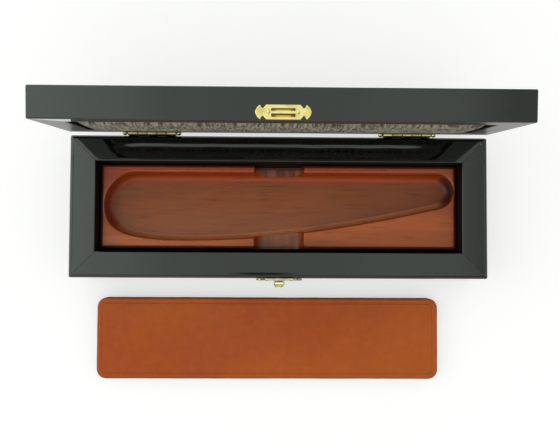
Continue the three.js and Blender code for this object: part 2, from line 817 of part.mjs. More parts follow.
function makeLatchHook() {
  const half = hookWidth / 2;
  const waist = hookWaist / 2;
  const top = pivotToBar + windowHeight;
  const neck = pivotToBar - windowHeight / 2;
  const arm = pushAlongX(hookSideOutline(), -half, half, 6);
  const front = new THREE.Shape();
  front.moveTo(-half, -hookBarrelRadius);
  front.lineTo(half, -hookBarrelRadius);
  front.lineTo(half, hookBarrelRadius);
  front.bezierCurveTo(waist, neck / 2, waist, neck - hookBarrelRadius, half, neck);
  front.lineTo(half, top);
  front.lineTo(-half, top);
  front.lineTo(-half, neck);
  front.bezierCurveTo(-waist, neck - hookBarrelRadius, -waist, neck / 2, -half, hookBarrelRadius);
  front.closePath();
  const depth = 2 * (hookReach + hookThickness + hookBarrelRadius);
  const sheet = new THREE.ExtrudeGeometry(front, { depth, bevelEnabled: false, curveSegments: 8 });
  sheet.rotateX(Math.PI / 2).translate(0, depth / 2, 0);
  const shaped = arm.intersect(toSolid(sheet));
  const barrel = rodAlongX(hookBarrelRadius, -half, half, 0, 0);
  const bore = rodAlongX(pivotPinRadius + pinClearance, -hookWidth, hookWidth, 0, 0);
  const hook = piece('latch_hook', shaped.add(barrel).subtract(bore), brass());
  const hanging = new THREE.Group();
  hanging.add(hook);
  hanging.position.set(0, -caseWidth / 2 - pivotOut, latchPivotZ);
  hanging.rotation.x = Math.PI;
  return hanging;
}

// Lid, in the closed position with the hinge axis at the origin
function makeLidFrame(lid) {
  const frame = new THREE.Group();
  const rabbetDepth = lidPanelThickness + glueGap;
  const long = { length: caseLength, across: caseWidth, height: lidHeight, rabbetDepth };
  const short = { ...long, length: caseWidth, across: caseLength };
  const upsideDown = (height) => lidHeight - height;
  const frontHoles = nailHolesInBoard(upsideDown(plateFromRim + plateHeight / 2));
  const backHoles = screwHolesInBoard(upsideDown(screwDown - lidRimZ));
  const turned = (name, solid, x, y, turnZ) => {
    const board = piece(name, solid.scale([1, 1, -1]), lacquer());
    frame.add(place(board, x, y, lidRimZ + lidHeight, turnZ));
  };
  turned('lid_front_board', cutAll(mitredBoard(long), frontHoles), 0, -caseWidth / 2, 0);
  turned('lid_back_board', cutAll(mitredBoard(long), backHoles), 0, caseWidth / 2, Math.PI);
  turned('lid_left_board', mitredBoard(short), -caseLength / 2, 0, -Math.PI / 2);
  turned('lid_right_board', mitredBoard(short), caseLength / 2, 0, Math.PI / 2);
  lid.add(place(frame, 0, lidFrontY + caseWidth / 2, 0));
}

function makeLidPanel(lid) {
  const top = lidRimZ + lidHeight;
  const panel = piece('lid_top_panel', rabbetPanel(top - lidPanelThickness, top), lacquer());
  lid.add(place(panel, 0, lidFrontY + caseWidth / 2, 0));
}

// A padded lining, crowned towards the rim
function makeLidLining(lid) {
  const length = cavityLength - 2 * liningClearance;
  const width = cavityWidth - 2 * liningClearance;
  const side = lidHeight - lidPanelThickness - liningClearance - liningBorderBelowRim;
  const ring = (inset, z) => {
    const corner = Math.max(liningCornerRadius - inset, leastCorner);
    const outline = roundedRectangle(length - 2 * inset, width - 2 * inset, corner);
    return { points: outlinePoints(outline, 4), z };
  };
  const rings = [ring(0, 0)];
  const steps = 4;
  for (let i = 0; i <= steps; i += 1) {
    const turn = (i / steps) * (Math.PI / 2);
    const inset = liningEdgeRadius * (1 - Math.cos(turn));
    rings.push(ring(inset, side - liningEdgeRadius * (1 - Math.sin(turn))));
  }
  const crownSteps = 6;
  const span = width / 2 - liningEdgeRadius - liningFlatHalfWidth;
  for (let i = 1; i <= crownSteps; i += 1) {
    const share = i / crownSteps;
    rings.push(ring(liningEdgeRadius + span * share, side + liningCrown * Math.sin(share * (Math.PI / 2))));
  }
  const lining = piece('lid_lining', toSolid(loft(rings)), liningCloth());
  lining.rotation.x = Math.PI;
  const back = lidRimZ + lidHeight - lidPanelThickness - liningClearance;
  lining.position.set(0, lidFrontY + caseWidth / 2, back);
  lid.add(lining);
}

// Strop
function makeStrop() {
  const length = cavityLength - 2 * stropPlayLong;
  const width = cavityWidth - 2 * stropPlayCross;
  const core = stropThickness - 2 * stropLeatherThickness - 2 * stropGlueGap;
  const plan = { length, width, corner: stropCornerRadius, steps: 4, divisions: 6 };
  const sheet = { ...plan, height: stropLeatherThickness, topRadius: stropEdgeRadius };
  const leather = () => toSolid(easedBlock(sheet));
  const board = toSolid(easedBlock({ ...plan, height: core, topRadius: stropGlueGap, steps: 1 }));
  const group = new THREE.Group();
  const back = piece('strop_back_leather', leather(), tanLeather());
  back.rotation.x = Math.PI;
  group.add(place(back, 0, 0, stropLeatherThickness));
  group.add(place(piece('strop_board', board, stainedBoard()), 0, 0, stropLeatherThickness + stropGlueGap));
  const top = stropThickness - stropLeatherThickness;
  group.add(place(piece('strop_face_leather', leather(), tanLeather()), 0, 0, top));
  return place(group, stropShift, -caseWidth / 2 - stropInFront - width / 2, 0);
}

// Whole case, with the lid standing open on its stops
const lid = new THREE.Group();
makeLidFrame(lid);
makeLidPanel(lid);
makeLidLining(lid);
makeKeeper(lid);

const razorCase = new THREE.Group();
razorCase.add(makeBaseFrame());
razorCase.add(makeBottomPanel());
razorCase.add(makeTray());
razorCase.add(makeHinge('left', -hingeCentreX, lid));
razorCase.add(makeHinge('right', hingeCentreX, lid));
razorCase.add(makeLatchPlate());
razorCase.add(makeLatchPin());
makeNails('latch', razorCase, -caseWidth / 2, latchPivotZ);
razorCase.add(makeLatchHook());
razorCase.add(makeStrop());
lid.position.set(0, hingeAxisY, hingeAxisZ);
lid.rotation.x = -openAngle * degree;
razorCase.add(lid);

export default razorCase;
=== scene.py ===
import json
import logging
import math
from dataclasses import dataclass, field
from enum import Enum
from typing import Callable, ClassVar, Iterable, Sequence

import bmesh
import bpy
from mathutils import Matrix, Vector, kdtree, noise


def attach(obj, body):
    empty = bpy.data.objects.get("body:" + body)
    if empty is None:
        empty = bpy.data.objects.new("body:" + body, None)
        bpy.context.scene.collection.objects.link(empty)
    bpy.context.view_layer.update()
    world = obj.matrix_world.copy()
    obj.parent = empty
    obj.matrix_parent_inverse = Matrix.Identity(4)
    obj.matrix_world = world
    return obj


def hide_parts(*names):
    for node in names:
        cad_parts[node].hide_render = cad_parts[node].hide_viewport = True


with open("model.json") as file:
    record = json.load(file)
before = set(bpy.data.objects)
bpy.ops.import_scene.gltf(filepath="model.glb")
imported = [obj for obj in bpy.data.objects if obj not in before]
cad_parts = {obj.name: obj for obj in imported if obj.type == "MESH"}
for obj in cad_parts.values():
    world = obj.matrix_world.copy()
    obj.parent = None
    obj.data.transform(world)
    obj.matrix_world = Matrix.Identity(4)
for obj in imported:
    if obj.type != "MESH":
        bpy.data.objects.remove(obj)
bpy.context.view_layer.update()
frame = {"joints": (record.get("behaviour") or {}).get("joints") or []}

# A black lacquered razor case with its lid open, its fitted tray, its brass fittings and its strop.
# Shapes are drawn in millimetres, and seated in the frame in metres.
MM = 0.001
log = logging.getLogger("razor_case")

Point = tuple[float, float]
Level = tuple[float, float]
Triple = tuple[float, float, float]
Colour = tuple[float, float, float]
Spot = tuple[Vector, Vector]
Obj = bpy.types.Object
Node = bpy.types.Node


class Body(Enum):
    """The moving bodies of the frame."""

    BASE = "base"
    LID = "lid"
    HOOK = "hook"
    TRAY = "tray"
    STROP = "strop"


class Slot(Enum):
    """The material slots of the record."""

    LACQUER = "black_lacquer"
    MAHOGANY = "mahogany"
    BRASS = "polished_brass"
    LINING = "lining_cloth"
    LEATHER = "tan_leather"
    CORE = "stained_wood"


@dataclass(frozen=True)
class Coat:
    """A material, and the record's slot that it comes from."""

    slot: Slot
    material: bpy.types.Material


# Places
def shift(x: float = 0.0, y: float = 0.0, z: float = 0.0) -> Matrix:
    """A move."""
    return Matrix.Translation(Vector((x, y, z)))


def turn_x(angle: float) -> Matrix:
    """A turn about X in degrees."""
    return Matrix.Rotation(math.radians(angle), 4, "X")


# Outlines
def arc(centre: Point, radius: float, start: float, end: float, steps: int) -> list[Point]:
    """Points on an arc, with both its ends.

    Args:
        centre: The arc's centre.
        radius: The arc's radius.
        start: The first angle in degrees.
        end: The last angle in degrees.
        steps: How many chords the arc has.

    Returns:
        The points in order.
    """
    turns = [math.radians(start + (end - start) * i / steps) for i in range(steps + 1)]
    return [(centre[0] + radius * math.cos(t), centre[1] + radius * math.sin(t)) for t in turns]


def quarter(radius: float, steps: int) -> list[Level]:
    """How far each point of a quarter round stands back from its side, and falls short of its top."""
    turns = [math.radians(90 * i / steps) for i in range(steps + 1)]
    return [(radius * (1 - math.cos(t)), radius * (1 - math.sin(t))) for t in turns]


def bezier(a: Point, b: Point, c: Point, d: Point, steps: int) -> list[Point]:
    """Points on a cubic curve, without its first one.

    Args:
        a: The start.
        b: The start's handle.
        c: The end's handle.
        d: The end.
        steps: How many chords the curve has.

    Returns:
        The points in order.
    """
    points = []
    for i in range(1, steps + 1):
        t = i / steps
        weights = ((1 - t) ** 3, 3 * t * (1 - t) ** 2, 3 * t * t * (1 - t), t ** 3)
        points.append(tuple(sum(w * p[k] for w, p in zip(weights, (a, b, c, d))) for k in (0, 1)))
    return points


def bend(a: Point, corner: Point, b: Point, steps: int) -> list[Point]:
    """Points on a curve between two points that is drawn towards a corner, without its first one."""
    handles = [tuple(p[k] + (corner[k] - p[k]) * 2 / 3 for k in (0, 1)) for p in (a, b)]
    return bezier(a, handles[0], handles[1], b, steps)


def rounded_outline(length: float, width: float, radius: float, steps: int,
                    along: tuple[int, int] = (1, 1)) -> list[Point]:
    """A counter-clockwise rectangle with round corners.

    Args:
        length: The size in X.
        width: The size in Y.
        radius: The corners' radius.
        steps: How many chords each corner has.
        along: How many parts the long and the short sides are cut into.

    Returns:
        The points in order.
    """
    x, y = length / 2 - radius, width / 2 - radius
    corners = [arc(centre, radius, start, start + 90, steps) for centre, start in
               (((-x, -y), 180), ((x, -y), 270), ((x, y), 0), ((-x, y), 90))]
    points: list[Point] = []
    for k, corner in enumerate(corners):
        points.extend(corner)
        last, goal, count = corner[-1], corners[(k + 1) % 4][0], along[k % 2]
        for i in range(1, count):
            points.append(tuple(last[n] + (goal[n] - last[n]) * i / count for n in (0, 1)))
    return points


def inset(points: Sequence[Point], distance: float) -> list[Point]:
    """Moves each point of an outline inward along its bisector.

    Args:
        points: The outline, counter-clockwise.
        distance: How far its sides move.

    Returns:
        The moved points.
    """
    moved = []
    for i, point in enumerate(points):
        here = Vector(point)
        edge_in = (here - Vector(points[i - 1])).normalized()
        edge_out = (Vector(points[(i + 1) % len(points)]) - here).normalized()
        normal_in = Vector((-edge_in.y, edge_in.x))
        bisector = (normal_in + Vector((-edge_out.y, edge_out.x))).normalized()
        moved.append(tuple(here + bisector * (distance / bisector.dot(normal_in))))
    return moved


# Meshes
def new_mesh(name: str, points: Iterable[Sequence[float]],
             faces: Sequence[tuple[int, ...]] = ()) -> bpy.types.Mesh:
    """A mesh of points and faces.

    Args:
        name: The mesh's name.
        points: The places of its points.
        faces: Each face as the numbers of its points.

    Returns:
        The mesh.
    """
    mesh = bpy.data.meshes.new(name)
    mesh.from_pydata([tuple(p) for p in points], [], faces)
    return mesh


def link(name: str, data: bpy.types.ID) -> Obj:
    """Puts a new object with its data into the scene.

    Args:
        name: The object's name.
        data: Its mesh, lamp or camera.

    Returns:
        The object.
    """
    obj = bpy.data.objects.new(name, data)
    bpy.context.scene.collection.objects.link(obj)
    return obj


class Draft:
    """The points and faces of one mesh, in millimetres."""

    def __init__(self) -> None:
        """Starts an empty mesh."""
        self.points: list[Vector] = []
        self.faces: list[tuple[int, ...]] = []

    def loft(self, rings: Sequence[Sequence[Sequence[float]]], looped: bool = False) -> "Draft":
        """Skins a stack of rings that have as many points each.

        Args:
            rings: The rings, each a list of points.
            looped: Whether the last ring joins the first, instead of both being capped.

        Returns:
            This draft.
        """
        first, count = len(self.points), len(rings[0])
        for ring in rings:
            self.points.extend(Vector(p) for p in ring)
        for r in range(len(rings) if looped else len(rings) - 1):
            a, b = first + r * count, first + ((r + 1) % len(rings)) * count
            for i in range(count):
                j = (i + 1) % count
                self.faces.append((a + i, a + j, b + j, b + i))
        if not looped:
            last = first + (len(rings) - 1) * count
            self.faces.append(tuple(range(first + count - 1, first - 1, -1)))
            self.faces.append(tuple(range(last, last + count)))
        return self

    def push(self, outline: Sequence[Point], low: float, high: float, axis: int = 2) -> "Draft":
        """Pushes an outline, drawn on two axes, from one level to another along the third."""
        return self.loft([[(*p[:axis], level, *p[axis:]) for p in outline] for level in (low, high)])

    def stack(self, outline_at: Callable[[float], Sequence[Point]], levels: Iterable[Level]) -> "Draft":
        """Skins an outline that changes with its distance inward, at pairs of distance and height."""
        return self.loft([[(x, y, z) for x, y in outline_at(step)] for step, z in levels])

    def work(self, name: str, place: Matrix | None = None) -> Obj:
        """Makes a working object of the draft, still in millimetres.

        Args:
            name: The object's name.
            place: Where the points go, if anywhere else.

        Returns:
            The object, with doubles merged and its faces outward.
        """
        mesh = new_mesh(name, self.points, self.faces)
        if place is not None:
            mesh.transform(place)
        tidy_mesh(mesh)
        return link(name, mesh)


def tidy_mesh(mesh: bpy.types.Mesh, least: float = 1e-3) -> None:
    """Merges doubles, drops what they leave and turns all faces outward.

    Args:
        mesh: The mesh, which is changed.
        least: How far apart points have to be.
    """
    work = bmesh.new()
    work.from_mesh(mesh)
    bmesh.ops.remove_doubles(work, verts=work.verts, dist=least)
    bmesh.ops.dissolve_degenerate(work, edges=work.edges, dist=least)
    bmesh.ops.recalc_face_normals(work, faces=work.faces)
    work.to_mesh(mesh)
    work.free()


def settle(obj: Obj) -> Obj:
    """Turns an object's modifiers into its own plain mesh.

    Args:
        obj: The object.

    Returns:
        The same object.
    """
    graph = bpy.context.evaluated_depsgraph_get()
    made = bpy.data.meshes.new_from_object(obj.evaluated_get(graph))
    spent = obj.data
    obj.modifiers.clear()
    obj.data = made
    if spent.users == 0:
        bpy.data.meshes.remove(spent)
    return obj


def modify(obj: Obj, kind: str, **settings: object) -> Obj:
    """Gives an object a modifier and keeps what it makes.

    Args:
        obj: The object.
        kind: The modifier's type.
        settings: The modifier's properties.

    Returns:
        The same object.
    """
    step = obj.modifiers.new(kind.lower(), kind)
    for name, value in settings.items():
        setattr(step, name, value)
    return settle(obj)


def discard(obj: Obj) -> None:
    """Removes a working object and its mesh.

    Args:
        obj: The object.
    """
    mesh = obj.data
    bpy.data.objects.remove(obj)
    bpy.data.meshes.remove(mesh)


def combine(obj: Obj, other: Obj, how: str) -> Obj:
    """Cuts one working object by another, or joins or intersects them.

    Args:
        obj: The object that stays.
        other: The object that is used up.
        how: DIFFERENCE, UNION or INTERSECT.

    Returns:
        The object that stays.
    """
    modify(obj, "BOOLEAN", object=other, operation=how, solver="EXACT")
    discard(other)
    return obj


def ease_edges(obj: Obj, width: float, angle: float = 40) -> None:
    """Rounds a working object's edges that turn by more than an angle in degrees."""
    modify(obj, "BEVEL", width=width, segments=2, limit_method="ANGLE",
           angle_limit=math.radians(angle), use_clamp_overlap=True)


def smooth(obj: Obj, sharp_angle: float) -> None:
    """Shades a mesh smooth, apart from its sharp edges.

    Args:
        obj: The object.
        sharp_angle: Edges that turn by more, in degrees, stay sharp.
    """
    limit = math.radians(sharp_angle)
    work = bmesh.new()
    work.from_mesh(obj.data)
    for face in work.faces:
        face.smooth = True
    for edge in work.edges:
        edge.smooth = edge.is_manifold and edge.calc_face_angle(0) < limit
    work.to_mesh(obj.data)
    work.free()


def seat(obj: Obj, body: Body, coat: Coat, *nodes: str, place: Matrix | None = None,
         sharp_angle: float = 32, weighted: bool = True) -> Obj:
    """Finishes a working object and seats it in the frame.

    Args:
        obj: The working object, in millimetres.
        body: The body that it rides on.
        coat: Its material, and the record's slot that this comes from.
        nodes: The CAD nodes that it stands for.
        place: Where the work goes in the frame, in millimetres.
        sharp_angle: Edges that turn by more stay sharp.
        weighted: Whether large faces have the say over shading.

    Returns:
        The finished piece.
    """
    if place is not None:
        obj.data.transform(place)
    smooth(obj, sharp_angle)
    if weighted:
        modify(obj, "WEIGHTED_NORMAL", keep_sharp=True)
    obj.data.transform(Matrix.Scale(MM, 4))
    obj.data.materials.clear()
    obj.data.materials.append(coat.material)
    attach(obj, body.value)
    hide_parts(*nodes)
    log.info("%s on %s, %d faces", obj.name, body.value, len(obj.data.polygons))
    return obj


def lathe(profile: Sequence[Point], steps: int, place: Matrix | None = None) -> Draft:
    """A closed body turned about Z.

    Args:
        profile: Pairs of radius and height, which start and end on the axis.
        steps: How many sides the body has.
        place: Where the body's points go.

    Returns:
        The draft.
    """
    turns = [2 * math.pi * i / steps for i in range(steps)]
    draft = Draft().loft([[(r * math.cos(t), r * math.sin(t), z) for t in turns] for r, z in profile])
    if place is not None:
        draft.points = [place @ p for p in draft.points]
    return draft


# Node trees
class Wire:
    """A socket that takes part in sums as a number does."""

    def __init__(self, net: "Net", socket: bpy.types.NodeSocket) -> None:
        """Wraps a socket of a net."""
        self.net = net
        self.socket = socket

    def __add__(self, other: object) -> "Wire":
        """The sum."""
        return self.net.math("ADD", self, other)

    def __sub__(self, other: object) -> "Wire":
        """The difference."""
        return self.net.math("SUBTRACT", self, other)

    def __rsub__(self, other: object) -> "Wire":
        """The difference from a number."""
        return self.net.math("SUBTRACT", other, self)

    def __mul__(self, other: object) -> "Wire":
        """The product."""
        return self.net.math("MULTIPLY", self, other)

    def __truediv__(self, other: object) -> "Wire":
        """The quotient."""
        return self.net.math("DIVIDE", self, other)

    def __lt__(self, other: object) -> "Wire":
        """One where this is the smaller."""
        return self.net.math("LESS_THAN", self, other)

    def __gt__(self, other: object) -> "Wire":
        """One where this is the greater."""
        return self.net.math("GREATER_THAN", self, other)

    def __or__(self, other: object) -> "Wire":
        """The greater of two."""
        return self.net.math("MAXIMUM", self, other)

    def __and__(self, other: object) -> "Wire":
        """The smaller of two."""
        return self.net.math("MINIMUM", self, other)

    def __abs__(self) -> "Wire":
        """The size without its sign."""
        return self.net.math("ABSOLUTE", self)

    def ramp(self, low: float, high: float, first: float = 0.0, last: float = 1.0) -> "Wire":
        """Carries the value softly from one range to another."""
        inputs = {"Value": self, "From Min": low, "From Max": high, "To Min": first, "To Max": last}
        return self.net.get("ShaderNodeMapRange", inputs, interpolation_type="SMOOTHSTEP")

    def fade(self, low: float, high: float, first: float = 1.0) -> "Wire":
        """Falls softly to nothing between two values."""
        return self.ramp(low, high, first, 0.0)


class Net:
    """Adds nodes to a tree and wires them, so that a finish reads as a short list."""

    def __init__(self, tree: bpy.types.NodeTree) -> None:
        """Wraps a node tree and empties it.

        Args:
            tree: The node tree.
        """
        self.tree = tree
        self.tree.nodes.clear()
        self.given: dict[str, Wire] = {}
        self.end: Node | None = None

    def feed(self, node: Node, inputs: dict) -> Node:
        """Feeds a node's inputs.

        Args:
            node: The node.
            inputs: Values or wires by the inputs' names or numbers. A colour may lack its alpha.

        Returns:
            The node.
        """
        for name, value in inputs.items():
            socket = node.inputs[name]
            if isinstance(value, Wire):
                self.tree.links.new(value.socket, socket)
            else:
                short = socket.type == "RGBA" and len(value) == 3
                socket.default_value = (*value, 1.0) if short else value
        return node

    def add(self, kind: str, inputs: dict | None = None, **settings: object) -> Node:
        """Adds a node.

        Args:
            kind: The node's type.
            inputs: What feed takes.
            settings: The node's own properties.

        Returns:
            The node.
        """
        node = self.tree.nodes.new(kind)
        for name, value in settings.items():
            setattr(node, name, value)
        return self.feed(node, inputs or {})

    def get(self, kind: str, inputs: dict | None = None, pick: int | str = 0, **settings: object) -> Wire:
        """Adds a node and picks one of its outputs."""
        return Wire(self, self.add(kind, inputs, **settings).outputs[pick])

    def outs(self, node: Node) -> dict[str, Wire]:
        """A node's outputs by their names."""
        return {socket.name: Wire(self, socket) for socket in node.outputs}

    def math(self, operation: str, *values: object) -> Wire:
        """A Math node's result."""
        return self.get("ShaderNodeMath", dict(enumerate(values)), operation=operation)

    def vector(self, operation: str, *values: object) -> Wire:
        """A Vector Math node's result."""
        return self.get("ShaderNodeVectorMath", dict(enumerate(values)), operation=operation)

    def blend(self, share: object, first: object, second: object) -> Wire:
        """A mix of two values."""
        return self.get("ShaderNodeMix", {0: share, 2: first, 3: second}, data_type="FLOAT")

    def mix(self, share: object, first: object, second: object) -> Wire:
        """A mix of two colours."""
        return self.get("ShaderNodeMix", {0: share, 6: first, 7: second}, 2, data_type="RGBA")

    def paint(self, colour: object, *layers: tuple[object, object]) -> object:
        """Lays colours over a first one, each through a mask of its own.

        Args:
            colour: The first colour.
            layers: A mask and a colour for each layer, in order.

        Returns:
            The last mix.
        """
        for mask, tone in layers:
            colour = self.mix(mask, colour, tone)
        return colour

    def noise(self, vector: object, scale: object, detail: float = 2.0, roughness: float = 0.5) -> Wire:
        """A noise texture's value."""
        inputs = {"Vector": vector, "Scale": scale, "Detail": detail, "Roughness": roughness}
        return self.get("ShaderNodeTexNoise", inputs)

    def parts(self, vector: Wire) -> tuple[Wire, ...]:
        """A vector's three parts."""
        return tuple(self.outs(self.add("ShaderNodeSeparateXYZ", {0: vector})).values())

    def along(self, axis: int, value: object) -> Wire:
        """A vector along one axis."""
        return self.get("ShaderNodeCombineXYZ", {axis: value})

    def group(self, tree: bpy.types.NodeTree, **inputs: object) -> dict[str, Wire]:
        """Places a node group with its own values.

        Args:
            tree: The group.
            inputs: Its inputs, with _ for a space in a name.

        Returns:
            Its outputs by their names.
        """
        node = self.add(self.tree.bl_idname.replace("Tree", "Group"), node_tree=tree)
        return self.outs(self.feed(node, {name.replace("_", " "): v for name, v in inputs.items()}))

    def place(self, centre: Triple = (0.0, 0.0, 0.0), angle: float = 0.0) -> Wire:
        """Object coordinates in metres.

        Args:
            centre: The point in millimetres that becomes the origin.
            angle: How far they turn about X after that, in degrees.

        Returns:
            The coordinates.
        """
        point = self.get("ShaderNodeTexCoord", pick="Object")
        inputs = {"Vector": point, "Location": turn_x(angle) @ (Vector(centre) * -MM),
                  "Rotation": (math.radians(angle), 0.0, 0.0)}
        return self.get("ShaderNodeMapping", inputs)

    def fine(self, point: Wire) -> Wire:
        """Coordinates in millimetres."""
        return self.vector("DIVIDE", point, (MM, MM, MM))

    def bump(self, height: object, depth: float = 1.0) -> Wire:
        """A Bump node's normal, for a height that counts depth millimetres to one."""
        return self.get("ShaderNodeBump", {"Height": height, "Distance": depth * MM, "Strength": 1.0})


def new_tree(kind: str, name: str, inputs: dict[str, str], outputs: dict[str, str]) -> Net:
    """A node group with named inputs and outputs.

    Args:
        kind: Shader or Geometry.
        name: The group's name.
        inputs: The inputs' names, parted by commas, under their sorts.
        outputs: The outputs' names in the same way.

    Returns:
        The group's net, with its inputs as given and its last node as end.
    """
    tree = bpy.data.node_groups.new(name, f"{kind}NodeTree")
    for in_out, sorts in (("INPUT", inputs), ("OUTPUT", outputs)):
        for sort, labels in sorts.items():
            for label in labels.split(", "):
                tree.interface.new_socket(name=label, in_out=in_out, socket_type=f"NodeSocket{sort}")
    net = Net(tree)
    net.given = net.outs(net.add("NodeGroupInput"))
    net.end = net.add("NodeGroupOutput")
    return net


# Shared surface effects
class Effects:
    """The effects that more than one finish uses, each built once as a group."""

    def __init__(self) -> None:
        """Builds every group."""
        self.waves = self._waves()
        self.specks = self._specks()
        self.grain = self._grain()
        self.border = self._border()
        self.scratches = self._scratches()

    @staticmethod
    def _waves() -> bpy.types.NodeTree:
        """Long ripples and streaks of a polished film, as a height in millimetres.

        Returns:
            The group's tree.
        """
        net = new_tree("Shader", "film_waves", {"Vector": "Vector, Streaked",
                                                "Float": "Wave Scale, Streak Scale, Streak Share"},
                       {"Float": "Height"})
        i = net.given
        wave = net.noise(i["Vector"], i["Wave Scale"], 1.0)
        streak = net.noise(i["Streaked"], i["Streak Scale"], 2.0)
        net.feed(net.end, {"Height": streak * i["Streak Share"] + wave})
        return net.tree

    @staticmethod
    def _specks() -> bpy.types.NodeTree:
        """Scattered specks of dust, as a mask.

        Returns:
            The group's tree.
        """
        net = new_tree("Shader", "specks", {"Vector": "Vector", "Float": "Scale, Size, Share"},
                       {"Float": "Mask"})
        i = net.given
        cells = net.outs(net.add("ShaderNodeTexVoronoi", {"Vector": i["Vector"], "Scale": i["Scale"]}))
        chosen = net.parts(cells["Color"])[0] < i["Share"]
        net.feed(net.end, {"Mask": (cells["Distance"] < i["Size"]) * chosen})
        return net.tree

    @staticmethod
    def _grain() -> bpy.types.NodeTree:
        """Wood that runs along X: its broad figure, its fine fibres and its dark pores.

        Returns:
            The group's tree.
        """
        net = new_tree("Shader", "wood_grain", {"Vector": "Vector, Stretch",
                                                "Float": "Figure Scale, Fibre Scale"},
                       {"Float": "Figure, Fibre, Pores"})
        i = net.given
        drift = net.along(1, net.noise(i["Vector"], 18.0, 1.0) * 0.004)
        along = net.vector("MULTIPLY", net.vector("ADD", i["Vector"], drift), i["Stretch"])
        net.feed(net.end, {"Figure": net.noise(along, i["Figure Scale"], 3.0, 0.6).ramp(0.3, 0.7),
                           "Fibre": net.noise(along, i["Fibre Scale"], 4.0, 0.7).ramp(0.3, 0.7),
                           "Pores": net.noise(along, 900.0, 1.0).ramp(0.62, 0.72)})
        return net.tree

    @staticmethod
    def _border() -> bpy.types.NodeTree:
        """How far a point lies inside a rounded rectangle, in the unit of its inputs.

        Returns:
            The group's tree.
        """
        net = new_tree("Shader", "inside_border", {"Vector": "Vector, Half Size", "Float": "Corner"},
                       {"Float": "Distance"})
        i = net.given
        over = net.parts(net.vector("SUBTRACT", net.vector("ABSOLUTE", i["Vector"]), i["Half Size"]))
        x, y = over[0] + i["Corner"], over[1] + i["Corner"]
        out_x, out_y = x | 0.0, y | 0.0
        outside = net.math("SQRT", out_x * out_x + out_y * out_y) + ((x | y) & 0.0) - i["Corner"]
        net.feed(net.end, {"Distance": outside * -1.0})
        return net.tree

    @staticmethod
    def _scratches() -> bpy.types.NodeTree:
        """Fine rub marks and broad dull patches of a handled metal or varnish.

        Returns:
            The group's tree.
        """
        net = new_tree("Shader", "rub_marks", {"Vector": "Vector", "Float": "Scale"},
                       {"Float": "Marks, Dulled"})
        i = net.given
        drawn = net.vector("MULTIPLY", i["Vector"], (1.0, 7.0, 5.0))
        patches = net.noise(i["Vector"], i["Scale"] * 0.3, 3.0, 0.6)
        net.feed(net.end, {"Marks": net.noise(drawn, i["Scale"], 3.0, 0.65),
                           "Dulled": patches.ramp(0.42, 0.68)})
        return net.tree


# Finishes
@dataclass(frozen=True)
class Finish:
    """What all finishes share: a name, a slot of the record and how the material is built."""

    name: str
    slot: ClassVar[Slot]

    def build(self, effects: Effects) -> Coat:
        """Builds the material.

        Args:
            effects: The shared groups.

        Returns:
            The coat.
        """
        material = bpy.data.materials.new(self.name)
        material.use_nodes = True
        net = Net(material.node_tree)
        shader = net.add("ShaderNodeBsdfPrincipled", self.inputs(net, effects))
        net.add("ShaderNodeOutputMaterial", {"Surface": Wire(net, shader.outputs[0])})
        return Coat(self.slot, material)

    def inputs(self, net: Net, effects: Effects) -> dict[str, object]:
        """What the Principled shader is fed."""
        raise NotImplementedError


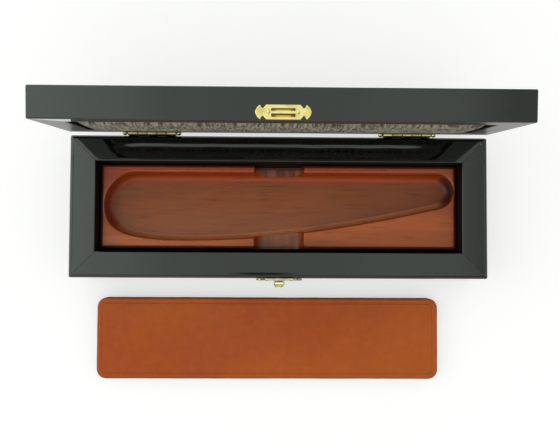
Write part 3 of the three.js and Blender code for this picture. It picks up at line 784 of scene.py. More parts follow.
@dataclass(frozen=True)
class Lacquer(Finish):
    """Black lacquer polished to a gloss, with slow ripples, dust and chips at the mitres.

    All lengths are in millimetres from the centre. Fields that end in _to, _edge or _middle lie far
    outside the case where a board does not have what they place.
    """

    slot: ClassVar[Slot] = Slot.LACQUER
    squeeze: Triple = (0.12, 1.0, 1.0)
    centre: Triple = (0.0, 0.0, 30.0)
    turn: float = 0.0
    half_length: float = 94.0
    half_width: float = 31.95
    black: Colour = (0.0026, 0.0029, 0.0027)
    # painted shade: the cavity's inner faces take this near-black, and turn metallic as a light trap
    cavity_shade: Colour = (0.007, 0.004, 0.003)
    raw_wood: Colour = (0.42, 0.31, 0.18)
    dust: Colour = (0.16, 0.16, 0.15)
    cavity: Point = (82.3, 20.25)
    cavity_depth: float = 28.0
    # painted reflection: a dark patch mirrored on the front rim, near its outer edge
    dark_reflection_spot: Point = (0.0, -200.0)
    dark_reflection_size: Point = (19.0, 0.75)
    # painted reflection: the strop mirrored as a red-brown band in the base's rounded top front edge
    strop_reflection_edge: float = -200.0
    strop_reflection: Colour = (0.045, 0.027, 0.024)
    dull_rim: float = 0.0
    polished_to: float = -200.0
    rim_tone: Colour = (0.045, 0.037, 0.04)
    window_middle: float = -100.0
    window_half: Point = (4.6, 2.0)
    window_gold: Colour = (0.5, 0.37, 0.07)
    window_amber: Colour = (0.5, 0.27, 0.07)
    window_shade: Colour = (0.05, 0.032, 0.006)
    ripple: float = 0.035
    chip_depth: float = 0.06
    streak_share: float = 0.35

    def inputs(self, net: Net, effects: Effects) -> dict[str, object]:
        """What the Principled shader is fed.

        Args:
            net: The net of the material's tree.
            effects: The shared groups.

        Returns:
            Values and wires by the names of the shader's inputs.
        """
        point = net.place(self.centre, self.turn)
        fine = net.fine(point)
        x, y, z = net.parts(fine)
        streaked = net.vector("MULTIPLY", point, self.squeeze)
        height = net.group(effects.waves, Vector=point, Streaked=streaked, Wave_Scale=38.0,
                           Streak_Scale=170.0, Streak_Share=self.streak_share)["Height"]
        specks = net.group(effects.specks, Vector=point, Scale=260.0, Size=0.09, Share=0.035)["Mask"]
        chips = self._chips(net, point, x, y)
        behind, seen = self._window(net, x, y, z)
        inside = net.group(effects.border, Vector=fine, Half_Size=(*self.cavity, 0.0), Corner=0.1)
        # The cavity's inner faces are dull lacquer, with painted shade: near-black and metallic as a light
        # trap.
        dull_shaded_inside = inside["Distance"].ramp(-0.2, -0.02) * abs(z).fade(self.cavity_depth,
                                                                    self.cavity_depth + 0.5)
        polished = x.ramp(self.polished_to - 2, self.polished_to + 2)
        at_rim = z.fade(0.3, 0.5, float(self.dull_rim > 0)) * (polished | y.ramp(0.0, 1.0))
        # Painted reflection of the strop in the base's rounded top front edge.
        strop_reflection_mask = y.fade(self.strop_reflection_edge, self.strop_reflection_edge + 0.7) * z.ramp(-1.9, -1.5)
        colour = net.paint(self.black, (specks * 0.7, self.dust), (chips, self.raw_wood), (behind, seen),
                           (at_rim, self.rim_tone), (strop_reflection_mask, self.strop_reflection), (dull_shaded_inside, self.cavity_shade))
        film = net.noise(streaked, 420.0, 3.0, 0.6).ramp(0.35, 0.7, 0.035, 0.1)
        overlaid = (chips | specks * 0.6) * 0.6
        return {"IOR": 1.5, "Base Color": colour, "Metallic": behind | self._dark_reflection(x, y) | dull_shaded_inside * 0.8,
                "Roughness": film | dull_shaded_inside * 0.75 | at_rim * self.dull_rim | overlaid,
                "Normal": net.bump(height * self.ripple - chips * self.chip_depth)}

    def _dark_reflection(self, x: Wire, y: Wire) -> Wire:
        """A mask of the painted dark reflection at the front edge, where the lacquer turns metallic and
        mirrors less.

        Args:
            x: The place along X, in millimetres.
            y: The place along Y, in millimetres.

        Returns:
            The mask.
        """
        far, wide = self.dark_reflection_size
        return (abs(x - self.dark_reflection_spot[0]).fade(0.2 * far, far, 0.85)
                * abs(y - self.dark_reflection_spot[1]).fade(0.3 * wide, wide))

    def _window(self, net: Net, x: Wire, y: Wire, z: Wire) -> tuple[Wire, Wire]:
        """Where brass light falls on the board behind the keeper's window, and its colour.

        Args:
            net: The net of the material's tree.
            x: The place along X, in millimetres.
            y: The place along Y, in millimetres.
            z: The place along Z, in millimetres.

        Returns:
            The mask and the colour.
        """
        up, aside = z - self.window_middle, abs(x)
        half_x, half_z = self.window_half
        ends = aside.fade(half_x - 0.5, half_x) * y.fade(-1.0, 1.0)
        tone = net.mix(up.ramp(-0.3, 0.3), self.window_amber, self.window_gold)
        shade = abs(up + 0.75).fade(0.1, 0.45) | up.ramp(0.85, 1.15) | aside.ramp(1.8, 3.6, 0.0, 0.8)
        return ends * abs(up).fade(half_z - 0.2, half_z), net.mix(shade, tone, self.window_shade)

    def _chips(self, net: Net, point: Wire, x: Wire, y: Wire) -> Wire:
        """A mask of small flakes lost along the mitres.

        Args:
            net: The net of the material's tree.
            point: The place in metres.
            x: The place along X, in millimetres.
            y: The place along Y, in millimetres.

        Returns:
            The mask.
        """
        off_line = abs((self.half_length - abs(x)) - (self.half_width - abs(y)))
        flakes = net.noise(point, 1500.0, 3.0, 0.7).ramp(0.52, 0.6)
        return off_line.fade(0.0, 0.45) * flakes * net.noise(point, 240.0, 1.0).ramp(0.5, 0.62)


@dataclass(frozen=True)
class Mahogany(Finish):
    """Red-brown stain under varnish, with painted light and shade by the way each side of the recess faces,
    painted highlights and shade on its lips and the top, and another tone in the notch.

    The tray's attribute recess_wall holds how far a point lies inside the recess, and which way the
    nearest wall looks out of it.
    """

    slot: ClassVar[Slot] = Slot.MAHOGANY
    centre: Triple = (0.0, 0.65, 20.5)
    half_size: Point = (82.0, 19.3)
    notch_half: float = 11.45
    notch_floor: float = -10.95
    cheek: Level = (7.2, 8.2)
    fillet: float = 2.7
    light: Colour = (0.48, 0.108, 0.018)
    dark: Colour = (0.33, 0.06, 0.01)
    routed_light: Colour = (0.32, 0.077, 0.013)
    routed_dark: Colour = (0.21, 0.05, 0.009)
    # painted light: the back wall's lit tone, which the floor also takes at the wall's foot
    back: Colour = (0.38, 0.062, 0.009)
    back_foot: float = 12.65
    strip: Colour = (0.35, 0.04, 0.008)
    # painted shade on the recess's front lip
    front_lip_shade: Colour = (0.2, 0.03, 0.008)
    # painted highlight along the recess's back lip, and painted light on the left of the top before the
    # recess
    strip_lip_highlight: Colour = (0.44, 0.078, 0.026)
    front_strip_lit: Colour = (0.66, 0.17, 0.04)
    # painted highlight on the recess's lips at the heel and the nose
    lip: Colour = (0.54, 0.24, 0.13)
    # painted light: the front wall and the front of the floor lightened against their shade, also on the
    # notch's front half
    front: Colour = (0.5, 0.18, 0.07)
    # painted light on the heel's end wall, painted shade on the nose's
    heel: Colour = (0.27, 0.046, 0.014)
    nose: Colour = (0.1, 0.02, 0.016)
    # painted shade on the tray's rounded outer edge; the grain's pores take this dark colour too
    shade: Colour = (0.07, 0.02, 0.011)
    notch_pale: Colour = (0.24, 0.08, 0.05)
    notch_deep: Colour = (0.08, 0.02, 0.017)

    def inputs(self, net: Net, effects: Effects) -> dict[str, object]:
        """What the Principled shader is fed.

        Args:
            net: The net of the material's tree.
            effects: The shared groups.

        Returns:
            Values and wires by the names of the shader's inputs.
        """
        point = net.place(self.centre)
        fine = net.fine(point)
        x, y, z = net.parts(fine)
        grain = net.group(effects.grain, Vector=point, Figure_Scale=90.0, Fibre_Scale=520.0,
                          Stretch=(0.08, 1.0, 1.0))
        inside, way_x, way_y = net.parts(net.get("ShaderNodeAttribute", pick="Vector",
                                                 attribute_name="recess_wall"))
        on_top = z.ramp(-0.75, -0.1)
        on_lip = z.ramp(-0.95, -0.75) * z.fade(-0.3, -0.05) * inside.ramp(-1.3, -1.0)
        in_notch = abs(x).fade(self.notch_half - 0.1, self.notch_half + 0.3) * (
            z.ramp(self.notch_floor - 0.25, self.notch_floor)) * (1.0 - on_top)
        edge = net.group(effects.border, Vector=fine, Half_Size=(*self.half_size, 0.0), Corner=0.8)
        colour = net.paint(
            self._routed(net, grain, (x, y), (inside, way_x, way_y)),
            (on_top, self._top(net, grain, x, y)),
            # Painted highlight on the end lips, and painted shade on the front lip.
            (on_lip * abs(way_x).ramp(0.35, 0.8, 0.0, 0.85), self.lip),
            (on_lip * way_y.fade(-0.7, -0.3, 0.85), self.front_lip_shade),
            (in_notch, self._notch(net, point, x, y)),
            # Painted shade on the tray's rounded outer edge, and the same dark colour in the pores.
            (edge["Distance"].fade(1.1, 1.5, 0.9), self.shade),
            (grain["Pores"] * 0.3, self.shade))
        rub = net.group(effects.scratches, Vector=point, Scale=300.0)
        relief = grain["Fibre"] * 0.012 - grain["Pores"] * 0.02
        return {"IOR": 1.45, "Specular IOR Level": 0.32, "Base Color": colour,
                "Roughness": rub["Dulled"] * 0.08 + on_top.ramp(0.0, 1.0, 0.3, 0.2),
                "Normal": net.bump(net.noise(point, 70.0, 1.0) * 0.05 + relief)}

    def _top(self, net: Net, grain: dict[str, Wire], x: Wire, y: Wire) -> Wire:
        """The flat top, redder behind the recess, with a painted highlight along the recess's back lip and
        painted light on the left of the part before it.

        Args:
            net: The net of the material's tree.
            grain: The grain's figure, fibres and pores.
            x: The place along X, in millimetres.
            y: The place along Y, in millimetres.

        Returns:
            The colour.
        """
        behind = (y > x.ramp(-66.0, -60.0, 8.0, 15.6)) * x.ramp(40.0, 75.0, 0.9, 0.2)
        # Painted light on the left of the strip before the recess, against the shade of the case's front
        # wall.
        before = y.fade(-15.0, -13.0, 0.6) * x.fade(-30.0, 0.0)
        # Painted highlight along the recess's back lip.
        lit = y.ramp(15.9, 16.05) * y.fade(16.6, 16.9) * abs(x).fade(60.0, 72.0, 0.9)
        return net.paint(self.dark, (grain["Figure"], self.light), (behind, self.strip),
                         (before, self.front_strip_lit), (lit, self.strip_lip_highlight))

    def _notch(self, net: Net, point: Wire, x: Wire, y: Wire) -> Wire:
        """The finger notch, with bars of cut end grain.

        Args:
            net: The net of the material's tree.
            point: The place in metres.
            x: The place along X, in millimetres.
            y: The place along Y, in millimetres.

        Returns:
            The colour.
        """
        bars = net.noise(net.vector("MULTIPLY", point, (1.0, 0.1, 0.1)), 300.0, 1.0).ramp(0.38, 0.62)
        # The notch's front half takes the painted-lit front tone.
        return net.paint(self.notch_deep, (bars, self.notch_pale), (y.fade(-12.0, 0.0, 0.4), self.front),
                         (abs(x).ramp(*self.cheek) * 0.8, self.dark))

    def _routed(self, net: Net, grain: dict[str, Wire], place: tuple[Wire, ...],
                zone: tuple[Wire, ...]) -> Wire:
        """The recess's floor, and the walls round it, from a point's place and its zone, in painted light
        and shade by the way each wall faces.

        Args:
            net: The net of the material's tree.
            grain: The grain's figure, fibres and pores.
            place: The place along X and along Y, in millimetres.
            zone: How far it lies inside the recess, and the nearest wall's way.

        Returns:
            The colour.
        """
        x, y = place
        inside, way_x, way_y = zone
        tone = (grain["Fibre"] * 0.6 + grain["Figure"] * 0.4) * x.ramp(0.0, 60.0, 1.0, 0.4)
        # Painted light and shade: each wall's tone follows the way it faces.
        wall_light_and_shade = net.paint(self.front, (way_y.ramp(-0.3, 0.6), self.back),
                         (way_x.ramp(0.3, 0.9), self.nose), (way_x.fade(-0.9, -0.4), self.heel))
        # The floor is painted lighter towards the front, and takes the back wall's lit tone at its foot.
        return net.paint(self.routed_dark, (tone, self.routed_light), (y.fade(-14.0, 4.0, 0.35), self.front),
                         (y.ramp(self.back_foot - 0.1, self.back_foot + 0.1), self.back),
                         (inside.fade(self.fillet - 0.35, self.fillet), wall_light_and_shade))


@dataclass(frozen=True)
class Brass(Finish):
    """Bright pressed brass with rub marks and a little tarnish."""

    slot: ClassVar[Slot] = Slot.BRASS
    bright: Colour = (0.66, 0.54, 0.24)
    warm: Colour = (0.44, 0.29, 0.06)

    def inputs(self, net: Net, effects: Effects) -> dict[str, object]:
        """What the Principled shader is fed.

        Args:
            net: The net of the material's tree.
            effects: The shared groups.

        Returns:
            Values and wires by the names of the shader's inputs.
        """
        point = net.place()
        rub = net.group(effects.scratches, Vector=point, Scale=900.0)
        colour = net.mix(rub["Dulled"] * 0.6, self.bright, self.warm)
        return {"Metallic": 1.0, "Base Color": self.overlaid(net, point, colour),
                "Roughness": rub["Marks"] * 0.14 + 0.12, "Normal": net.bump(rub["Marks"], 0.012)}

    def overlaid(self, net: Net, point: Wire, colour: Wire) -> Wire:
        """The colour with whatever a kind of brass lays over it: plain brass lays nothing."""
        return colour


@dataclass(frozen=True)
class HingeBrass(Brass):
    """Brass whose knuckles carry painted shade: bright on their crown, and painted dark beside it and in the
    gaps between them.
    """

    axis: Point = (32.95, 30.15)
    radius: float = 1.25
    crown: Level = (-0.55, 0.3)
    centre_x: float = 57.3
    pitch: float = 4.32
    # painted shade on the knuckles' flanks and in the gaps between them
    flank_and_gap_shade: Colour = (0.05, 0.04, 0.012)
    dim_side: Colour = (0.62, 0.6, 0.75)

    def overlaid(self, net: Net, point: Wire, colour: Wire) -> Wire:
        """The colour with painted shade beside the crown and in the gaps.

        Args:
            net: The net of the material's tree.
            point: The place in metres.
            colour: The colour without wear.

        Returns:
            The worn colour.
        """
        x, y, z = net.parts(net.fine(point))
        y, z = y - self.axis[0], z - self.axis[1]
        barrel = net.math("SQRT", y * y + z * z).fade(self.radius - 0.03, self.radius)
        low, high = self.crown
        to_gap = net.math("PINGPONG", abs(x) + (self.pitch * 3.5 - self.centre_x), self.pitch / 2)
        # Painted shade: dark on the barrel beside the lit crown, and in the gaps between knuckles.
        dark = y.fade(low - 0.25, low) | y.ramp(high, high + 0.25) | to_gap.fade(0.1, 0.35)
        dim = net.mix(x.fade(-10.0, 10.0), (1.0, 1.0, 1.0), self.dim_side)
        return net.mix(barrel * dark, net.vector("MULTIPLY", colour, dim), self.flank_and_gap_shade)


@dataclass(frozen=True)
class Leather(Finish):
    """Smooth tan leather with fine pores, slow changes of tone and a burnished border."""

    slot: ClassVar[Slot] = Slot.LEATHER
    centre: Triple = (-4.8, -61.0, 0.0)
    half_size: Point = (80.85, 19.1)
    corner: float = 4.5
    crease: float = 2.55
    second_crease: float = 5.6
    line: Level = (0.05, 0.3)
    light: Colour = (0.46, 0.1, 0.012)
    deep: Colour = (0.37, 0.064, 0.008)
    burnt: Colour = (0.11, 0.042, 0.016)

    def inputs(self, net: Net, effects: Effects) -> dict[str, object]:
        """What the Principled shader is fed.

        Args:
            net: The net of the material's tree.
            effects: The shared groups.

        Returns:
            Values and wires by the names of the shader's inputs.
        """
        point = net.place(self.centre)
        fine = net.fine(point)
        edge = net.group(effects.border, Vector=fine, Half_Size=(*self.half_size, 0.0),
                         Corner=self.corner)["Distance"]
        cloud = net.noise(point, 22.0, 3.0, 0.55).ramp(0.35, 0.68)
        fleck = net.noise(point, 260.0, 4.0, 0.7).ramp(0.35, 0.7)
        from_left = net.parts(fine)[0] + (self.half_size[0] - self.second_crease)
        pressed = abs(edge - self.crease).fade(*self.line, 0.45) | abs(from_left).fade(*self.line, 0.22)
        colour = net.paint(self.deep, (fleck * 0.3 + cloud * 0.7, self.light), (pressed, self.deep),
                           (edge.fade(0.05, 0.55, 0.8), self.burnt))
        rub = net.group(effects.scratches, Vector=point, Scale=150.0)
        pores = net.get("ShaderNodeTexVoronoi", {"Vector": point, "Scale": 1900.0}, "Distance")
        return {"IOR": 1.45, "Specular IOR Level": 0.25, "Base Color": colour,
                "Roughness": rub["Dulled"].ramp(0.0, 1.0, 0.42, 0.56),
                "Normal": net.bump(pores.ramp(0.0, 0.5) * 0.012 + net.noise(point, 600.0, 3.0) * 0.03)}


@dataclass(frozen=True)
class Cloth(Finish):
    """Brushed grey-brown cloth with short matted fibres."""

    slot: ClassVar[Slot] = Slot.LINING
    pale: Colour = (0.375, 0.345, 0.235)
    dark: Colour = (0.046, 0.042, 0.03)
    lint: Colour = (0.42, 0.42, 0.3)

    def inputs(self, net: Net, effects: Effects) -> dict[str, object]:
        """What the Principled shader is fed.

        Args:
            net: The net of the material's tree.
            effects: The shared groups.

        Returns:
            Values and wires by the names of the shader's inputs.
        """
        point = net.place()
        tufts = net.noise(net.vector("MULTIPLY", point, (1.0, 0.3, 0.14)), 950.0, 3.0, 0.75)
        tone = (tufts * 0.8 + net.noise(point, 90.0, 3.0, 0.6) * 0.2).ramp(0.42, 0.58)
        lint = net.group(effects.specks, Vector=point, Scale=420.0, Size=0.14, Share=0.08)["Mask"]
        return {"IOR": 1.4, "Sheen Weight": 0.12, "Sheen Roughness": 0.5,
                "Base Color": net.paint(self.dark, (tone, self.pale), (lint * 0.5, self.lint)),
                "Roughness": tufts.ramp(0.3, 0.7, 0.8, 1.0), "Normal": net.bump(tufts, 0.35)}


@dataclass(frozen=True)
class StainedWood(Finish):
    """The strop's thin stained core, which shows at its edge."""

    slot: ClassVar[Slot] = Slot.CORE
    light: Colour = (0.17, 0.07, 0.03)
    dark: Colour = (0.08, 0.032, 0.015)

    def inputs(self, net: Net, effects: Effects) -> dict[str, object]:
        """What the Principled shader is fed.

        Args:
            net: The net of the material's tree.
            effects: The shared groups.

        Returns:
            Values and wires by the names of the shader's inputs.
        """
        grain = net.group(effects.grain, Vector=net.place(), Figure_Scale=120.0, Fibre_Scale=700.0,
                          Stretch=(0.1, 1.0, 1.0))
        return {"IOR": 1.45, "Base Color": net.mix(grain["Fibre"], self.dark, self.light),
                "Roughness": grain["Figure"].ramp(0.0, 1.0, 0.45, 0.6),
                "Normal": net.bump(grain["Fibre"], 0.03)}


def build_coats() -> dict[str, Coat]:
    """Builds every finish of the case once.

    Returns:
        The coats by the names that the parts ask for.
    """
    across = (1.0, 0.12, 1.0)
    lid = {"centre": (0.0, 30.23, 62.99), "turn": 85.0, "dull_rim": 0.33, "cavity_depth": 10.5}
    finishes = {
        "base_long": Lacquer("lacquer_long_boards", dark_reflection_spot=(-7.1, -29.9), strop_reflection_edge=-31.1),
        "base_short": Lacquer("lacquer_end_boards", squeeze=across),
        "lid_long": Lacquer("lacquer_lid_long", polished_to=-73.5, window_middle=3.05, **lid),
        "lid_short": Lacquer("lacquer_lid_ends", squeeze=across, **lid),
        "mahogany": Mahogany("varnished_mahogany"),
        "brass": Brass("pressed_brass"),
        "latch": Brass("latch_brass", bright=(0.85, 0.8, 0.5), warm=(0.45, 0.38, 0.14)),
        "plate": Brass("latch_plate_brass", bright=(0.44, 0.41, 0.27), warm=(0.2, 0.16, 0.06)),
        "base_hinge": HingeBrass("base_hinge_brass"),
        # painted shade: the lid's knuckles are the base's brass in a darker tone
        "lid_hinge": HingeBrass("lid_hinge_brass", bright=(0.5, 0.4, 0.17)),
        "leather": Leather("tan_leather_skin"),
        "cloth": Cloth("brushed_lining"),
        "core": StainedWood("stained_core"),
    }
    effects = Effects()
    return {name: finish.build(effects) for name, finish in finishes.items()}


# Where the lid and the hook stand
@dataclass(frozen=True)
class Joints:
    """The places of the joints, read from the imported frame."""

    hinge: Vector
    open_angle: float
    pivot: Vector

    @classmethod
    def from_frame(cls) -> "Joints":
        """Reads the joints' places in millimetres and the open angle in degrees.

        Returns:
            The joints.
        """
        joints = {j["name"]: j for j in frame["joints"]}
        hinge, pivot = joints["lid_hinge"], joints["hook_pivot"]
        return cls(Vector(hinge["pos_m"]) / MM, hinge["range_deg"][1], Vector(pivot["pos_m"]) / MM)

    @property
    def lid(self) -> Matrix:
        """From the closed lid, with the hinge axis at the origin, to the open lid."""
        return Matrix.Translation(self.hinge) @ turn_x(-self.open_angle)


# Boards
@dataclass(frozen=True)
class BoardFrame:
    """Four mitred boards round a cavity, with their rim on top and a rabbet at their foot."""

    height: float
    panel: float
    length: float = 188.0
    width: float = 63.9
    thickness: float = 11.7
    rabbet: float = 5.0
    outer_radius: float = 1.8
    inner_radius: float = 0.5
    corner_radius: float = 0.8
    glue: float = 0.1
    groove: float = 0.09
    hold: float = 0.04
    panel_ease: float = 0.12
    arc_steps: int = 8
    rim_steps: int = 18
    along: tuple[int, int] = (72, 24)

    def section(self) -> list[Point]:
        """The boards' section as (distance from the outer face, height).

        Returns:
            The section's points.
        """
        top, foot, inner = self.height, self.panel + self.glue, self.thickness
        big, small, hold = self.outer_radius, self.inner_radius, self.hold
        points = arc((big, big), big, 180, 270, self.arc_steps)
        points += [(big + hold, 0), (inner - self.rabbet, 0), (inner - self.rabbet, foot), (inner, foot)]
        points += [(inner, top - small - hold)]
        points += arc((inner - small, top - small), small, 0, 90, self.arc_steps)
        first, last = inner - small - hold, big + hold
        points += [(first + (last - first) * i / self.rim_steps, top) for i in range(self.rim_steps + 1)]
        points += arc((big, top - big), big, 90, 180, self.arc_steps)
        return points + [(0, top - big - hold), (0, big + hold)]

    def skin(self, relief: Callable[[Vector], float]) -> bmesh.types.BMesh:
        """The whole frame before it is cut at the mitres.

        Args:
            relief: How far a point of the rim lies below the flat.

        Returns:
            The mesh.
        """
        rings = []
        for u, z in self.section():
            outline = rounded_outline(self.length - 2 * u, self.width - 2 * u,
                                      max(self.corner_radius - u, 0.0), 6, self.along)
            ring = [Vector((x, y, z)) for x, y in outline]
            if z == self.height:
                ring = [p - Vector((0, 0, relief(p))) for p in ring]
            rings.append(ring)
        draft = Draft().loft(rings, looped=True)
        mesh = new_mesh("skin", draft.points, draft.faces)
        work = bmesh.new()
        work.from_mesh(mesh)
        bpy.data.meshes.remove(mesh)
        bmesh.ops.remove_doubles(work, verts=work.verts, dist=1e-4)
        bmesh.ops.recalc_face_normals(work, faces=work.faces)
        return work

    def boards(self, relief: Callable[[Vector], float] = lambda p: 0.0) -> dict[str, Obj]:
        """Cuts the frame at its mitres.

        Args:
            relief: How far a point of the rim lies below the flat.

        Returns:
            The working objects front, back, left and right.
        """
        whole = self.skin(relief)
        x, y = self.length / 2, self.width / 2
        cuts = {
            "front": (((-x, -y), (1, -1)), ((x, -y), (-1, -1)), ((0, 0), (0, -1))),
            "back": (((-x, y), (1, 1)), ((x, y), (-1, 1)), ((0, 0), (0, 1))),
            "left": (((-x, -y), (-1, 1)), ((-x, y), (-1, -1))),
            "right": (((x, -y), (1, 1)), ((x, y), (1, -1))),
        }
        made = {}
        for side, planes in cuts.items():
            work = whole.copy()
            for corner, way in planes:
                normal = Vector((*way, 0)).normalized()
                start = Vector((*corner, 0)) + normal * self.glue / 2
                bmesh.ops.bisect_plane(work, geom=[*work.verts, *work.edges, *work.faces], dist=1e-5,
                                       plane_co=start, plane_no=normal, clear_inner=True)
            rim = [e for e in work.edges if e.is_boundary]
            bmesh.ops.holes_fill(work, edges=rim, sides=0)
            bmesh.ops.bevel(work, geom=rim, offset=self.groove, offset_type="OFFSET", segments=2,
                            profile=0.5, affect="EDGES", clamp_overlap=True)
            bmesh.ops.recalc_face_normals(work, faces=work.faces)
            mesh = bpy.data.meshes.new(side)
            work.to_mesh(mesh)
            work.free()
            made[side] = link(side, mesh)
        whole.free()
        return made

    def panel_draft(self) -> Draft:
        """The panel that fills the rabbet, with finely eased edges.

        Returns:
            The draft.
        """
        ease, top, less = self.panel_ease, self.panel, 2 * (self.thickness - self.rabbet + self.glue)
        length, width = self.length - less, self.width - less
        return Draft().stack(lambda step: rounded_outline(length - 2 * step, width - 2 * step, 0.3, 4),
                             [(ease, 0.0), (0.0, ease), (0.0, top - ease), (ease, top)])


def seat_boards(boards: dict[str, Obj], body: Body, coats: dict[str, Coat],
                place: Matrix | None = None) -> None:
    """Names the four boards of a body after it, and seats them.

    Args:
        boards: The boards by their sides.
        body: The body that they ride on.
        coats: Every finish.
        place: Where they go in the frame.
    """
    for side, board in boards.items():
        board.name = f"{body.value}_{side}_board_lacquered"
        run = "long" if side in ("front", "back") else "short"
        seat(board, body, coats[f"{body.value}_{run}"], f"{body.value}_{side}_board", place=place,
             sharp_angle=18, weighted=False)


@dataclass
class Base:
    """The case's base: its boards, with the wear of their rim, and its bottom."""

    coats: dict[str, Coat]
    frame: BoardFrame = field(default_factory=lambda: BoardFrame(height=30.0, panel=4.0))
    hollow_depth: float = 0.175
    hollow_centre: float = 26.3
    hollow_half: float = 2.5
    hollow_ends: Level = (-76.0, 74.0)
    shoulder_start: float = -28.6
    shoulder_fall: float = 0.07
    end_slope: float = 0.012

    def relief(self, point: Vector) -> float:
        """A shallow sanding hollow along the back rim, a fallen shoulder at the front and fallen ends.

        Args:
            point: A point of the rim.

        Returns:
            How far it lies below the flat.
        """
        low, high = self.hollow_ends
        ends = min(max((point.x - low) / 10, 0), 1) * min(max((high - point.x) / 14, 0), 1)
        wander = 0.35 * noise.noise(Vector((point.x * 0.11, 3.7, 0)))
        across = min(abs(point.y - self.hollow_centre - wander) / self.hollow_half, 1)
        hollow = self.hollow_depth * ends * 0.5 * (1 + math.cos(math.pi * across))
        fallen = max(self.shoulder_start - point.y, 0)
        beyond = abs(point.x) - self.frame.length / 2 + self.frame.thickness
        sideways = max(abs(point.y) - self.frame.width / 2 + self.frame.thickness, 0)
        return hollow + self.shoulder_fall * (fallen / 1.5) ** 2 + self.end_slope * max(beyond - sideways, 0)

    def build(self) -> None:
        """Builds the boards and the bottom."""
        seat_boards(self.frame.boards(self.relief), Body.BASE, self.coats)
        panel = self.frame.panel_draft().work("base_bottom_lacquered")
        seat(panel, Body.BASE, self.coats["base_long"], "base_bottom_panel")


@dataclass(frozen=True)
class Swelling:
    """A short cloth simulation that blows a pad's face up from its glued back.

    It runs at ten centimetres to the unit, where the cloth's settings suit a pad of this size.
    """

    unit: float = 100.0
    voxel: float = 1.25
    pressure: float = 4.0
    frames: int = 20
    glued_share: float = 0.6
    cap: float = 0.8
    tuft: float = 0.14
    tuft_scale: float = 0.55

    def run(self, pad: Obj, depth: float) -> None:
        """Swells a pad that lies on z = 0.

        Args:
            pad: The pad, in millimetres.
            depth: How high its face lies.
        """
        half_x = max(v.co.x for v in pad.data.vertices)
        half_y = max(v.co.y for v in pad.data.vertices)
        modify(pad, "REMESH", mode="VOXEL", voxel_size=self.voxel)
        pad.data.transform(Matrix.Scale(1 / self.unit, 4))
        still = [v.co.copy() for v in pad.data.vertices]
        glued = pad.vertex_groups.new(name="glued")
        low = depth * self.glued_share / self.unit
        glued.add([v.index for v in pad.data.vertices if v.co.z < low], 1.0, "ADD")
        self._blow(pad)
        cap = self.cap / self.unit
        for vertex, start in zip(pad.data.vertices, still):
            move = vertex.co - start
            if move.length > cap:
                move *= cap / move.length
            vertex.co = (start + move) * self.unit
            vertex.co.x = min(max(vertex.co.x, -half_x), half_x)
            vertex.co.y = min(max(vertex.co.y, -half_y), half_y)
        pad.vertex_groups.clear()
        modify(pad, "SUBSURF", levels=1, render_levels=1)
        for vertex in pad.data.vertices:
            if vertex.co.z > depth * self.glued_share:
                vertex.co.z += self.tuft * noise.noise(vertex.co * self.tuft_scale)

    def _blow(self, pad: Obj) -> None:
        """Runs the simulation and keeps its last frame as the mesh.

        Args:
            pad: The pad, which is changed.
        """
        cloth = pad.modifiers.new("swell", "CLOTH")
        cloth.settings.vertex_group_mass = "glued"
        cloth.settings.use_pressure = True
        cloth.settings.uniform_pressure_force = self.pressure
        cloth.settings.effector_weights.gravity = 0
        cloth.point_cache.frame_start = 1
        cloth.point_cache.frame_end = self.frames
        for step in range(1, self.frames + 1):
            bpy.context.scene.frame_set(step)
        settle(pad)
        bpy.context.scene.frame_set(1)


@dataclass
class Lid:
    """The case's lid: boards, top panel and padded lining, drawn closed and seated open."""

    coats: dict[str, Coat]
    joints: Joints
    frame: BoardFrame = field(default_factory=lambda: BoardFrame(height=12.4, panel=3.5,
                                                                 outer_radius=0.6))
    rim_gap: float = 0.3
    axis_offset: float = 1.0
    lining_below_rim: float = 0.3
    lining_crown: float = 0.6
    lining_edge: float = 2.4
    lining_clearance: float = 0.3

    @property
    def place(self) -> Matrix:
        """From the frame as drawn, rim up, to the open lid."""
        centre = shift(0, -self.axis_offset - self.frame.width / 2, self.rim_gap / 2 + self.frame.height)
        return self.joints.lid @ centre @ turn_x(180)

    def build(self) -> None:
        """Builds the boards, the panel and the lining."""
        turned = {"front": "back", "back": "front"}
        boards = {turned.get(side, side): board for side, board in self.frame.boards().items()}
        seat_boards(boards, Body.LID, self.coats, self.place)
        panel = self.frame.panel_draft().work("lid_top_lacquered")
        seat(panel, Body.LID, self.coats["lid_long"], "lid_top_panel", place=self.place)
        self.build_lining()

    def build_lining(self) -> None:
        """Builds the padded lining from a Geometry Nodes tree."""
        less = 2 * self.frame.thickness + 2 * self.lining_clearance
        back = self.frame.panel + self.lining_clearance
        depth = self.frame.height - back - self.lining_below_rim
        holder = Draft().push(rounded_outline(2, 2, 0.2, 1), 0, 1).work("lid_lining_padded")
        run_tree(holder, lining_tree(), {
            "Length": self.frame.length - less, "Width": self.frame.width - less, "Depth": depth,
            "Crown": self.lining_crown, "Edge": self.lining_edge, "Softness": 0.32, "Seed": 4.0,
            "Finish": self.coats["cloth"].material})
        Swelling().run(holder, depth)
        seat(holder, Body.LID, self.coats["cloth"], "lid_lining", place=self.place @ shift(z=back),
             sharp_angle=80, weighted=False)


def run_tree(obj: Obj, net: Net, sizes: dict[str, object]) -> Obj:
    """Runs a Geometry Nodes tree on an object and keeps the result as its mesh.

    Args:
        obj: The object, whose mesh is the tree's first input.
        net: The tree's net.
        sizes: A value for each named input.

    Returns:
        The object.
    """
    step = obj.modifiers.new("tree", "NODES")
    step.node_group = net.tree
    for item in net.tree.interface.items_tree:
        if item.in_out == "INPUT" and item.name in sizes:
            step[item.identifier] = sizes[item.name]
    return settle(obj)


